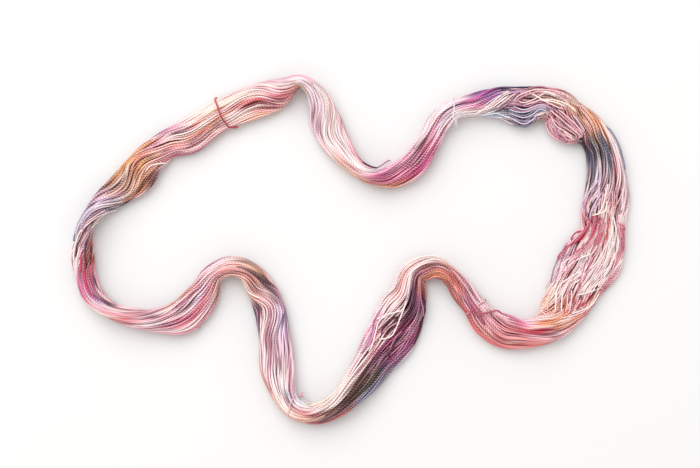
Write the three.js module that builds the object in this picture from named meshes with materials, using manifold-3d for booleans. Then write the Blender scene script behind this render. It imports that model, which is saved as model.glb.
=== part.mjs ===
// An open skein of hand-dyed yarn, lying in a wavy closed loop and held by four thread ties.
// Millimetres, +Z up. The skein rests on the plane z = 0, and the origin is under the middle of its box.

import * as THREE from "three";
import { mergeVertices } from "three/addons/utils/BufferGeometryUtils.js";
import Module from "manifold-3d";

const wasm = await Module();
wasm.setup();

// Driving dimensions
const threadDiameter = 1.6; // of the tie thread
const tieClearance = 0.7; // from a tie to the yarn that it holds
const floorClearance = 0.1; // from a tie to the plane that the skein rests on
const beltShare = 0.42; // height of a section's widest line, as a share of the section's height
const undersideShare = 0.55; // depth of a section below that line, before the plane flattens it
const grooveDepth = 0.2; // of the furrows between two locks, as a share of the section's radius
const looseGroove = 0.12; // added to that share where the yarn lies slack
const tiedGroove = 0.3; // share of a groove that is left under a tie
const boxMiddleX = -0.14; // middle of the skein's box, as the route is written
const boxMiddleY = 0.0;

// Fineness of the surfaces
const ringsPerRow = 2; // rings of the skein's surface for each row of the route
const pointsPerRing = 28;
const tieSteps = 36; // rings of a tie's loop
const threadSides = 6;
const endSteps = 4; // rings of a free end, from one point to the next
const knotSegments = 8;

// The route, clockwise from above: the middle of each section, half its width, and its height.
// The yarn's amount stays the same, so a narrow section is a tall one.
const routeColumns = ["x", "y", "half", "height"];
const route = table(routeColumns, [
  [-127, 137, 16.5, 18], // upper left tie
  [-99, 147, 17.5, 18],
  [-75, 156, 16.5, 19],
  [-53, 168, 7, 32], // first half turn, on edge
  [-38, 160, 9, 29],
  [-30, 145, 13, 23],
  [-24, 124, 17, 19],
  [-12.3, 103.5, 14.3, 22],
  [4, 84, 9.5, 26],
  [24, 73, 9.3, 27], // foot of the upper valley
  [43, 74.5, 12.8, 23],
  [64, 86.5, 13.8, 22],
  [78, 108, 12.6, 23],
  [89, 129, 12.5, 23],
  [105, 141, 10.3, 25], // upper middle tie
  [128, 146, 13, 23],
  [150, 147.5, 16.5, 20],
  [172, 143.5, 21.5, 17],
  [190, 147, 17.5, 20],
  [206, 142, 18.5, 20],
  [218, 129, 22.7, 19], // slack folds on the inside
  [239, 119, 17.5, 20],
  [250.7, 102.5, 17.8, 20],
  [255.5, 80, 20.5, 17],
  [256.5, 57, 23.5, 15],
  [253.5, 37, 24.5, 15],
  [252.2, 17.7, 23.7, 16],
  [242.6, -6.8, 30.7, 14], // widest, fanned out
  [226.5, -32, 27, 15],
  [214, -54.5, 23.5, 17],
  [200.7, -73.4, 18.7, 19.5],
  [179, -83, 14.8, 22.5],
  [154.5, -81.5, 18.1, 20],
  [135.4, -71.3, 16, 21],
  [124.5, -57, 12.3, 22], // right tie
  [111, -41, 12, 23],
  [97.5, -25, 10.2, 26],
  [81.5, -17, 12.3, 23], // top of the right hump
  [62, -23.5, 14.5, 21],
  [57, -45.3, 20.2, 18],
  [50.5, -62.3, 25, 16],
  [40.5, -85, 25.5, 15],
  [25.4, -108, 21.7, 17],
  [9.2, -132, 18.2, 19.5],
  [-11.5, -154, 13.2, 23],
  [-35.5, -163.5, 11.5, 25], // foot of the lower valley
  [-55.8, -158.2, 11.4, 25], // bottom tie
  [-67, -143.5, 13.5, 22],
  [-73, -121, 18, 18],
  [-75, -99.5, 18, 18],
  [-77.5, -78, 16.5, 19],
  [-82, -57.5, 16, 20],
  [-90.5, -37.5, 15.3, 20],
  [-103.5, -21.5, 11.7, 24],
  [-121.5, -16.5, 10.6, 26], // top of the left hump
  [-138.5, -25.5, 11.5, 24],
  [-148.6, -46, 16.7, 20],
  [-167.8, -66, 18.2, 18],
  [-192, -70.5, 13.5, 22],
  [-216, -68, 10.2, 26],
  [-239, -60.5, 9.5, 27],
  [-257, -46.5, 11.5, 24],
  [-264.3, -28, 10.6, 25],
  [-267.5, -8, 12.5, 23],
  [-267.5, 10, 10, 26],
  [-262.5, 29, 8.3, 30], // second half turn, on edge
  [-249.5, 46, 11.3, 25],
  [-232.5, 59, 15.5, 20],
  [-214.1, 74.2, 19.2, 18],
  [-201.4, 90.9, 16.8, 19],
  [-183.5, 106, 15, 20],
  [-162.7, 113.4, 18.2, 18],
  [-144, 126, 16.5, 18.5],
]);

// Stretches of the route, by row number, where the skein turns over or its strands slant, and by how
// many degrees. Outwards over the top counts as negative, and all of them together are one whole turn.
const turns = table(["from", "to", "degrees"], [
  [0, 0.9, -20],
  [1, 3.4, 130], // first half turn, on edge
  [4.8, 6.8, 70],
  [8, 9.3, -50], // slanting out of the upper valley
  [9, 11, -40],
  [11, 13, 20],
  [14.6, 16.8, -70], // a pale lock crosses to the outside
  [16.8, 20, 30],
  [20, 21.6, 65], // and back to the inside
  [23, 25, 20],
  [25, 28, -30],
  [28.4, 31.8, 100], // the fan gathers under itself
  [31.8, 33.4, 25],
  [34, 36, 35],
  [36, 38, -45], // over the right hump
  [38.5, 43, 45],
  [43.5, 46, -50], // through the lower valley
  [46.5, 49.4, 25],
  [49.4, 51, 40],
  [51, 52.2, -60], // under the left hump
  [52.2, 54, -25],
  [54.6, 56.3, 30],
  [56.8, 61.2, -120], // a long slant along the lower left
  [62, 65, 140], // second half turn, on edge
  [65, 67, 70],
  [67.2, 68.2, -35],
  [68.4, 70, 45],
  [70, 72.5, 15],
]);

// Stretches where the yarn lies slack, by row number, and how slack.
const slackStretches = table(["from", "to", "slack"], [
  [15, 23, 0.6],
  [22, 32, 1],
  [38, 44, 0.4],
]);

// The locks of yarn around a section: where each lies, in degrees from the outer side over the top,
// the half angle it fills, and how far and how often it swings along the route.
const locks = table(["angle", "spread", "swing", "waves", "start"], [
  [8, 34, 12, 9, 20],
  [58, 30, 16, 7, 130],
  [104, 36, 14, 11, 250],
  [158, 32, 18, 8, 70],
  [210, 34, 12, 6, 310],
  [262, 30, 10, 9, 190],
  [312, 34, 14, 7, 40],
]);

// The ties: the row of the route that each one holds.
const tieRows = { upperLeft: 0, upperMiddle: 14, right: 34, bottom: 46 };

// How far a tie's upper run leans along the route, and how far it bows.
const tieSlants = {
  upperLeft: { lean: -3.5, bow: -3.7 },
  upperMiddle: { lean: 1.5, bow: 0 },
  right: { lean: 1.5, bow: 0 },
  bottom: { lean: 1.5, bow: 0 },
};

const threadRadius = threadDiameter / 2;
const tieOffset = threadRadius + tieClearance;
const tieLift = threadDiameter + tieClearance + floorClearance;
const liftReach = 1.1; // rows of the route on either side of a tie over which the yarn comes down again

// A table as a list of records with named columns.
function table(columns, rows) {
  return rows.map((row) => Object.fromEntries(columns.map((name, i) => [name, row[i]])));
}

const centreline = new THREE.CatmullRomCurve3(
  route.map((row) => new THREE.Vector3(row.x - boxMiddleX, row.y - boxMiddleY, 0)),
  true,
  "catmullrom",
);
const sizes = new THREE.CatmullRomCurve3(
  route.map((row) => new THREE.Vector3(row.half, row.height, 0)),
  true,
  "catmullrom",
);

// Rows between two places on the closed route, the short way round.
function rowsApart(a, b) {
  const apart = Math.abs(a - b) % route.length;
  return Math.min(apart, route.length - apart);
}

// Degrees that the skein has turned over, from the first row to this one.
function turnAt(row) {
  return turns.reduce((sum, turn) => sum + turn.degrees * THREE.MathUtils.smoothstep(row, turn.from, turn.to), 0);
}

// From 0, drawn together, to 1, slack: a soft hump over each slack stretch.
function slackAt(row) {
  return slackStretches.reduce((most, stretch) => {
    const along = (row - stretch.from) / (stretch.to - stretch.from);
    const hump = along > 0 && along < 1 ? Math.sin(Math.PI * along) ** 2 : 0;
    return Math.max(most, stretch.slack * hump);
  }, 0);
}

// From 0 to 1 as a place comes under a tie.
function tiedAt(row) {
  return Object.values(tieRows).reduce((most, tieRow) => {
    return Math.max(most, THREE.MathUtils.smoothstep(1 - rowsApart(row, tieRow) / liftReach, 0, 1));
  }, 0);
}

// Where a lock lies around the section at this row, in degrees.
function lockAngle(lock, row) {
  const phase = (lock.waves * row) / route.length + lock.start / 360;
  return lock.angle + turnAt(row) + lock.swing * Math.sin(2 * Math.PI * phase);
}

// Share of the section's radius at an angle: 1 on a lock's crest, less in the grooves between locks.
function lockRadius(row, degrees) {
  const crest = locks.reduce((most, lock) => {
    const away = THREE.MathUtils.euclideanModulo(degrees - lockAngle(lock, row) + 180, 360) - 180;
    return Math.max(most, 1 - (away / lock.spread) ** 2);
  }, 0);
  const depth = (grooveDepth + looseGroove * slackAt(row)) * THREE.MathUtils.lerp(1, tiedGroove, tiedAt(row));
  return 1 - depth * (1 - crest);
}

// The section's frame at a row: its middle, the outward side and the way of travel.
function frameAt(row) {
  const share = THREE.MathUtils.euclideanModulo(row, route.length) / route.length;
  const forward = centreline.getTangent(share);
  return {
    middle: centreline.getPoint(share),
    forward,
    outward: new THREE.Vector3(-forward.y, forward.x, 0),
    size: sizes.getPoint(share),
  };
}

// A point of the skein's surface, as its distance outwards and its height: an ellipse with lobes,
// shallower below its belt, and flat where it lies on the plane or on a tie.
function sectionPoint(row, degrees) {
  const { size } = frameAt(row);
  const radius = lockRadius(row, degrees);
  const angle = THREE.MathUtils.degToRad(degrees);
  const rise = Math.sin(angle) > 0 ? 1 - beltShare : undersideShare;
  const height = size.y * (beltShare + rise * radius * Math.sin(angle));
  return new THREE.Vector2(size.x * radius * Math.cos(angle), Math.max(height, tieLift * tiedAt(row)));
}

// A place given by its distance outwards and its height at a row, in the skein's own frame.
function placeAt(row, point) {
  const { middle, outward } = frameAt(row);
  return middle.clone().addScaledVector(outward, point.x).setZ(point.y);
}

// A closed surface from a closed list of rings with equally many points, each ring turning
// right-handed about the way to the next one.
function closedSurface(rings) {
  const sides = rings[0].length;
  const corners = [];
  rings.forEach((ring, i) => {
    const next = (i + 1) % rings.length;
    ring.forEach((_, j) => {
      const beside = (j + 1) % sides;
      const [a, b, c, d] = [i * sides + j, i * sides + beside, next * sides + j, next * sides + beside];
      corners.push(a, b, c, b, d, c);
    });
  });
  const geometry = new THREE.BufferGeometry().setFromPoints(rings.flat());
  geometry.setIndex(corners);
  return geometry;
}

// The skein as one solid of its wound form
function skeinGeometry() {
  const rings = [];
  for (let i = 0; i < route.length * ringsPerRow; i += 1) {
    const row = i / ringsPerRow;
    const ring = [];
    for (let j = 0; j < pointsPerRing; j += 1) {
      ring.push(placeAt(row, sectionPoint(row, (360 * j) / pointsPerRing)));
    }
    rings.push(ring);
  }
  return closedSurface(rings);
}

// The taut loop of a tie: for each direction around the section, the furthest point of the yarn,
// moved out by the thread's radius and its clearance.
function tieLoop(row) {
  const outline = [];
  for (let j = 0; j < pointsPerRing; j += 1) {
    outline.push(sectionPoint(row, (360 * j) / pointsPerRing));
  }
  const loop = [];
  for (let k = 0; k < tieSteps; k += 1) {
    const angle = (2 * Math.PI * k) / tieSteps;
    const away = new THREE.Vector2(Math.cos(angle), Math.sin(angle));
    const furthest = outline.reduce((best, point) => (point.dot(away) > best.dot(away) ? point : best));
    loop.push({ point: furthest.clone().addScaledVector(away, tieOffset), away });
  }
  return loop;
}

// A tie's loop as a closed thread. Its upper run slants along the route, its lower run stays square.
function tieLoopGeometry(row, slant) {
  const { forward, outward } = frameAt(row);
  const rings = tieLoop(row).map(({ point, away }) => {
    const along = Math.max(away.y, 0) * (slant.lean * away.x + slant.bow);
    const middle = placeAt(row, point).addScaledVector(forward, along);
    const outOfLoop = outward.clone().multiplyScalar(away.x).setZ(away.y);
    const ring = [];
    for (let s = 0; s < threadSides; s += 1) {
      const angle = (2 * Math.PI * s) / threadSides;
      ring.push(
        middle
          .clone()
          .addScaledVector(outOfLoop, threadRadius * Math.cos(angle))
          .addScaledVector(forward, -threadRadius * Math.sin(angle)),
      );
    }
    return ring;
  });
  return closedSurface(rings);
}

// A free end of thread along a few points
function threadGeometry(points) {
  const section = new THREE.Shape();
  for (let s = 0; s < threadSides; s += 1) {
    const angle = (2 * Math.PI * s) / threadSides;
    const corner = [threadRadius * Math.cos(angle), threadRadius * Math.sin(angle)];
    if (s === 0) section.moveTo(...corner);
    else section.lineTo(...corner);
  }
  section.closePath();
  return new THREE.ExtrudeGeometry(section, {
    steps: endSteps * (points.length - 1),
    extrudePath: new THREE.CatmullRomCurve3(points),
    bevelEnabled: false,
  });
}

// A small overhand knot as a rounded lump on the thread
const knotRadius = 1.35 * threadRadius;
function knotGeometry(place) {
  return new THREE.SphereGeometry(knotRadius, knotSegments, knotSegments / 2).translate(place.x, place.y, place.z);
}

// A closed geometry as a solid to join
function solidOf(geometry) {
  const bare = geometry.clone();
  bare.deleteAttribute("normal");
  bare.deleteAttribute("uv");
  const merged = mergeVertices(bare, 1e-4);
  return new wasm.Manifold(
    new wasm.Mesh({
      numProp: 3,
      vertProperties: merged.getAttribute("position").array,
      triVerts: new Uint32Array(merged.index.array),
    }),
  );
}

// The joined solid as a geometry again
function geometryOf(solid) {
  const mesh = solid.getMesh();
  const geometry = new THREE.BufferGeometry();
  geometry.setAttribute("position", new THREE.BufferAttribute(mesh.vertProperties, 3));
  geometry.setIndex(new THREE.BufferAttribute(mesh.triVerts, 1));
  return geometry;
}

// A place just clear of the skein's surface, by row and angle, with some more room where asked.
function besideYarn(row, degrees, room = 0) {
  const angle = THREE.MathUtils.degToRad(degrees);
  const away = new THREE.Vector2(Math.cos(angle), Math.sin(angle));
  return placeAt(row, sectionPoint(row, degrees).addScaledVector(away, tieOffset + room));
}

// The point of a tie's loop in a direction around its section
function onLoop(row, degrees) {
  const { point } = tieLoop(row)[Math.round((degrees / 360) * tieSteps) % tieSteps];
  return placeAt(row, point);
}

// One tie: its loop, the knot, and the free ends that leave the knot.
function tieGeometry(name, knotDegrees, ends) {
  const knot = onLoop(tieRows[name], knotDegrees);
  const pieces = [knotGeometry(knot), ...ends.map((points) => threadGeometry([knot, ...points(knot)]))];
  const loop = solidOf(tieLoopGeometry(tieRows[name], tieSlants[name]));
  return geometryOf(pieces.reduce((joined, piece) => joined.add(solidOf(piece)), loop));
}

// Short ends stand off from the knot, by so much along the route, outwards and up.
function shortEnd(row, along, out, up) {
  return (knot) => {
    const { forward, outward } = frameAt(row);
    const tip = knot.clone().addScaledVector(forward, along).addScaledVector(outward, out);
    tip.z += up;
    const bend = knot.clone().lerp(tip, 0.5);
    bend.z += up > 0 ? 0 : 0.4 * threadDiameter;
    return [bend, tip];
  };
}

// The right tie's long end lies back across the top of the yarn and along its inner edge.
const longEndRoom = 1.3;
const longEnd = table(["back", "degrees"], [
  [0.2, 66],
  [0.4, 80],
  [0.5, 102],
  [0.64, 123],
  [0.9, 143],
  [1.15, 160],
  [1.45, 167],
  [1.75, 160],
  [1.9, 150],
]);

function longEndPoints() {
  return longEnd.map(({ back, degrees }) => besideYarn(tieRows.right - back, degrees, longEndRoom));
}

// Materials, with the skein's mean colour
const yarnMaterial = new THREE.MeshStandardMaterial({ color: 0xc79aa3, roughness: 0.6, metalness: 0 });
const pinkThread = new THREE.MeshStandardMaterial({ color: 0xc9707a, roughness: 0.7, metalness: 0 });
const roseThread = new THREE.MeshStandardMaterial({ color: 0xd48c92, roughness: 0.7, metalness: 0 });
const paleThread = new THREE.MeshStandardMaterial({ color: 0xe6d3d6, roughness: 0.7, metalness: 0 });

function namedMesh(name, geometry, material) {
  const mesh = new THREE.Mesh(geometry, material);
  mesh.name = name;
  return mesh;
}

const innerSide = 180;
const outerTop = 55;

const skein = new THREE.Group();
skein.add(namedMesh("skein", skeinGeometry(), yarnMaterial));
skein.add(
  namedMesh(
    "tie_upper_left",
    tieGeometry("upperLeft", innerSide, [shortEnd(tieRows.upperLeft, 7.5, -1.5, -0.5)]),
    pinkThread,
  ),
);
skein.add(
  namedMesh(
    "tie_upper_middle",
    tieGeometry("upperMiddle", innerSide, [
      shortEnd(tieRows.upperMiddle, 0.5, -5, -2),
      shortEnd(tieRows.upperMiddle, -4, -8, -6),
    ]),
    paleThread,
  ),
);
skein.add(namedMesh("tie_right", tieGeometry("right", outerTop, [longEndPoints]), roseThread));
skein.add(
  namedMesh(
    "tie_bottom",
    tieGeometry("bottom", innerSide, [
      shortEnd(tieRows.bottom, -1, -6.5, 1),
      shortEnd(tieRows.bottom, -3.5, -4, -2),
    ]),
    roseThread,
  ),
);

export default skein;
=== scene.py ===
import bpy
import numpy as np
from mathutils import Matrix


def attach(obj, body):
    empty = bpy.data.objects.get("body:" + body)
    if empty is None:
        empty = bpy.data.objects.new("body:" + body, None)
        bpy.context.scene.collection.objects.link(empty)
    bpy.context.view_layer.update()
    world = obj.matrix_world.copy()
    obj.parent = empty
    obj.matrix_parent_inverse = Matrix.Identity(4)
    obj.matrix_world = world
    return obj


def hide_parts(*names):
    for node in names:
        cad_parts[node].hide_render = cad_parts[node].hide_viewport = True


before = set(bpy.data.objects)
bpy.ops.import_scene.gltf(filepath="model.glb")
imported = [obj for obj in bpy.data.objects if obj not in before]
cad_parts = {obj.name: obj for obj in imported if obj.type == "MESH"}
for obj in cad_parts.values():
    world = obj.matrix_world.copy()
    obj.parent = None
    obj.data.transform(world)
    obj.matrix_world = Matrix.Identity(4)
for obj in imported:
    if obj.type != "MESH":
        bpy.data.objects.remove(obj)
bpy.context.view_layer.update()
print("frame loaded:", ", ".join(sorted(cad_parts)))

mm = 0.001  # every size below is in millimetres, and meshes are written in metres


# The wound form, with the values of the solid that the yarn replaces

form = {
    "boxMiddle": (-0.14, 0.0),  # middle of the skein's box, as the route is written
    "beltShare": 0.42,  # height of a section's widest line, as a share of its height
    "undersideShare": 0.55,  # depth below that line
    "grooveDepth": 0.2,  # furrows between two locks
    "looseGroove": 0.12,
    "tiedGroove": 0.3,
    "threadDiameter": 1.6,
    "tieClearance": 0.7,
    "floorClearance": 0.1,
    "liftReach": 1.1,  # rows on either side of a tie over which the yarn comes down
    "slopeStep": 0.01,  # rows to either side for the way of travel
}

# clockwise from above: x, y of a section's middle, half its width, its height
route = np.array([
    (-127, 137, 16.5, 18),  # upper left tie
    (-99, 147, 17.5, 18),
    (-75, 156, 16.5, 19),
    (-53, 168, 7, 32),  # first half turn, on edge
    (-38, 160, 9, 29),
    (-30, 145, 13, 23),
    (-24, 124, 17, 19),
    (-12.3, 103.5, 14.3, 22),
    (4, 84, 9.5, 26),
    (24, 73, 9.3, 27),  # foot of the upper valley
    (43, 74.5, 12.8, 23),
    (64, 86.5, 13.8, 22),
    (78, 108, 12.6, 23),
    (89, 129, 12.5, 23),
    (105, 141, 10.3, 25),  # upper middle tie
    (128, 146, 13, 23),
    (150, 147.5, 16.5, 20),
    (172, 143.5, 21.5, 17),
    (190, 147, 17.5, 20),
    (206, 142, 18.5, 20),
    (218, 129, 22.7, 19),  # slack folds on the inside
    (239, 119, 17.5, 20),
    (250.7, 102.5, 17.8, 20),
    (255.5, 80, 20.5, 17),
    (256.5, 57, 23.5, 15),
    (253.5, 37, 24.5, 15),
    (252.2, 17.7, 23.7, 16),
    (242.6, -6.8, 30.7, 14),  # widest, fanned out
    (226.5, -32, 27, 15),
    (214, -54.5, 23.5, 17),
    (200.7, -73.4, 18.7, 19.5),
    (179, -83, 14.8, 22.5),
    (154.5, -81.5, 18.1, 20),
    (135.4, -71.3, 16, 21),
    (124.5, -57, 12.3, 22),  # right tie
    (111, -41, 12, 23),
    (97.5, -25, 10.2, 26),
    (81.5, -17, 12.3, 23),  # top of the right hump
    (62, -23.5, 14.5, 21),
    (57, -45.3, 20.2, 18),
    (50.5, -62.3, 25, 16),
    (40.5, -85, 25.5, 15),
    (25.4, -108, 21.7, 17),
    (9.2, -132, 18.2, 19.5),
    (-11.5, -154, 13.2, 23),
    (-35.5, -163.5, 11.5, 25),  # foot of the lower valley
    (-55.8, -158.2, 11.4, 25),  # bottom tie
    (-67, -143.5, 13.5, 22),
    (-73, -121, 18, 18),
    (-75, -99.5, 18, 18),
    (-77.5, -78, 16.5, 19),
    (-82, -57.5, 16, 20),
    (-90.5, -37.5, 15.3, 20),
    (-103.5, -21.5, 11.7, 24),
    (-121.5, -16.5, 10.6, 26),  # top of the left hump
    (-138.5, -25.5, 11.5, 24),
    (-148.6, -46, 16.7, 20),
    (-167.8, -66, 18.2, 18),
    (-192, -70.5, 13.5, 22),
    (-216, -68, 10.2, 26),
    (-239, -60.5, 9.5, 27),
    (-257, -46.5, 11.5, 24),
    (-264.3, -28, 10.6, 25),
    (-267.5, -8, 12.5, 23),
    (-267.5, 10, 10, 26),
    (-262.5, 29, 8.3, 30),  # second half turn, on edge
    (-249.5, 46, 11.3, 25),
    (-232.5, 59, 15.5, 20),
    (-214.1, 74.2, 19.2, 18),
    (-201.4, 90.9, 16.8, 19),
    (-183.5, 106, 15, 20),
    (-162.7, 113.4, 18.2, 18),
    (-144, 126, 16.5, 18.5),
])
rowCount = len(route)

turns = (  # from row, to row, degrees turned over, with slants of the strands; in all one whole turn
    (0, 0.9, -20),
    (1, 3.4, 130),  # first half turn, on edge
    (4.8, 6.8, 70),
    (8, 9.3, -50),  # slanting out of the upper valley
    (9, 11, -40),
    (11, 13, 20),
    (14.6, 16.8, -70),  # a pale lock crosses to the outside
    (16.8, 20, 30),
    (20, 21.6, 65),  # and back to the inside
    (23, 25, 20),
    (25, 28, -30),
    (28.4, 31.8, 100),  # the fan gathers under itself
    (31.8, 33.4, 25),
    (34, 36, 35),
    (36, 38, -45),  # over the right hump
    (38.5, 43, 45),
    (43.5, 46, -50),  # through the lower valley
    (46.5, 49.4, 25),
    (49.4, 51, 40),
    (51, 52.2, -60),  # under the left hump
    (52.2, 54, -25),
    (54.6, 56.3, 30),
    (56.8, 61.2, -120),  # a long slant along the lower left
    (62, 65, 140),  # second half turn, on edge
    (65, 67, 70),
    (67.2, 68.2, -35),
    (68.4, 70, 45),
    (70, 72.5, 15),
)
slackStretches = ((15, 23, 0.6), (22, 32, 1.0), (38, 44, 0.4))  # from row, to row, how slack
locks = (  # degrees from the outer side over the top, half angle filled, swing, waves, start
    (8, 34, 12, 9, 20),
    (58, 30, 16, 7, 130),
    (104, 36, 14, 11, 250),
    (158, 32, 18, 8, 70),
    (210, 34, 12, 6, 310),
    (262, 30, 10, 9, 190),
    (312, 34, 14, 7, 40),
)
tieRows = {"upperLeft": 0, "upperMiddle": 14, "right": 34, "bottom": 46}


# a cubic from b to c, with slopes of (c - a) / 2 and (d - b) / 2 at its ends
def cubicBetween(a, b, c, d, f):
    return b + 0.5 * f * (c - a + f * (2 * a - 5 * b + 4 * c - d + f * (3 * (b - c) + d - a)))


# that cubic between the rows of a table, closed round the loop
def closedSpline(values, rows):
    first = np.floor(rows).astype(int)
    corners = (values[(first + k) % rowCount] for k in (-1, 0, 1, 2))
    return cubicBetween(*corners, (rows - first)[..., None])


# that cubic through open places, from the first to the last, taken at equal steps
def curveThrough(places, steps):
    places = np.asarray(places, float)
    table = np.vstack([2 * places[0] - places[1], places, 2 * places[-1] - places[-2]])
    at = np.linspace(0, len(places) - 1, steps)
    first = np.minimum(at.astype(int), len(places) - 2)
    corners = (table[first + k] for k in range(4))
    return cubicBetween(*corners, (at - first)[:, None])


# 0 below low, 1 above high, and 3t^2 - 2t^3 between them
def smoothStep(x, low, high):
    t = np.clip((x - low) / (high - low), 0, 1)
    return t * t * (3 - 2 * t)


# middle of the section, its way of travel from a small step along the curve, half width and height
def routeAt(rows):
    here = closedSpline(route, rows)
    step = form["slopeStep"]
    ahead = closedSpline(route[:, :2], rows + step) - closedSpline(route[:, :2], rows - step)
    forward = ahead / np.linalg.norm(ahead, axis=-1, keepdims=True)
    return here[..., :2] - form["boxMiddle"], forward, here[..., 2], here[..., 3]


# degrees turned over since the first row: each stretch adds its share by a smooth step
def turnAt(rows):
    at = np.mod(rows, rowCount)
    return sum(degrees * smoothStep(at, low, high) for low, high, degrees in turns)


# the highest of the squared-sine humps over a table of stretches
def slackAt(rows, stretches=slackStretches):
    at = np.mod(rows, rowCount)
    humps = []
    for low, high, much in stretches:
        share = np.clip((at - low) / (high - low), 0, 1)
        humps.append(much * np.sin(np.pi * share) ** 2)
    return np.max(humps, axis=0)


# rows from one place to another the short way round
def rowsApart(rows, place):
    return np.abs(np.mod(rows - place + rowCount / 2, rowCount) - rowCount / 2)


# 1 under a tie, falling to 0 by a smooth step on either side
def tiedAt(rows):
    near = [1 - rowsApart(rows, place) / form["liftReach"] for place in tieRows.values()]
    return smoothStep(np.max(near, axis=0), 0, 1)


# share of a section's radius: 1 on a lock's crest, less in a groove, each crest a parabola over the angle
def lockRadius(rows, degrees):
    crest = np.zeros(np.broadcast(rows, degrees).shape)
    for angle, spread, swing, waves, start in locks:
        middle = angle + turnAt(rows) + swing * np.sin(2 * np.pi * (waves * rows / rowCount + start / 360))
        away = np.mod(degrees - middle + 180, 360) - 180
        crest = np.maximum(crest, 1 - (away / spread) ** 2)
    depth = form["grooveDepth"] + form["looseGroove"] * slackAt(rows)
    return 1 - depth * (1 + (form["tiedGroove"] - 1) * tiedAt(rows)) * (1 - crest)


tieLift = form["threadDiameter"] + form["tieClearance"] + form["floorClearance"]


# a point of the section, moved in along the ellipse's normal: outwards, up, and the lowest height there
def sectionPoint(rows, degrees, inset):
    _, _, half, height = routeAt(rows)
    radius = lockRadius(rows, degrees)
    angle = np.radians(degrees)
    rise = np.where(np.sin(angle) > 0, 1 - form["beltShare"], form["undersideShare"])
    out = half * radius * np.cos(angle)
    up = height * (form["beltShare"] + rise * radius * np.sin(angle))
    normal = np.stack([np.cos(angle) * height * rise, np.sin(angle) * half])
    normal /= np.linalg.norm(normal, axis=0)
    floor = tieLift * tiedAt(rows)
    return out - inset * normal[0], up - inset * normal[1], floor


# a place given by its distance outwards and its height at a row, in the skein's frame
def placeAt(rows, out, up):
    middle, forward, _, _ = routeAt(rows)
    x = middle[..., 0] - forward[..., 1] * out
    y = middle[..., 1] + forward[..., 0] * out
    return np.stack([x, y, up], axis=-1)


# Dye: a palette, and where each dye was poured on the skein, with a few strokes of painted shade and one of
# painted light among them

palette = {  # display colours, out of 255
    "undyed": (236, 220, 217),
    "pearl": (236, 226, 228),
    "cream": (238, 222, 212),
    "blush": (227, 197, 201),
    "pink": (214, 160, 171),
    "rose": (194, 118, 132),
    "hotPink": (208, 88, 150),
    "orchid": (224, 150, 186),
    "magenta": (178, 52, 114),
    "plum": (92, 27, 64),
    "maroon": (100, 35, 47),
    "crimson": (184, 62, 86),
    "cherry": (216, 76, 90),
    "coral": (210, 142, 130),
    "salmon": (226, 142, 136),
    "brick": (182, 96, 92),
    "orange": (216, 148, 98),
    "gold": (216, 176, 124),
    "tan": (188, 144, 124),
    "umber": (88, 56, 50),
    "olive": (94, 84, 74),
    "mauve": (172, 126, 150),
    "lilac": (206, 190, 206),
    "violet": (142, 82, 152),
    "grape": (132, 68, 118),
    "navy": (42, 44, 72),
    "slate": (134, 134, 154),
    "ice": (208, 212, 222),
    "peach": (234, 194, 174),
}

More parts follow.
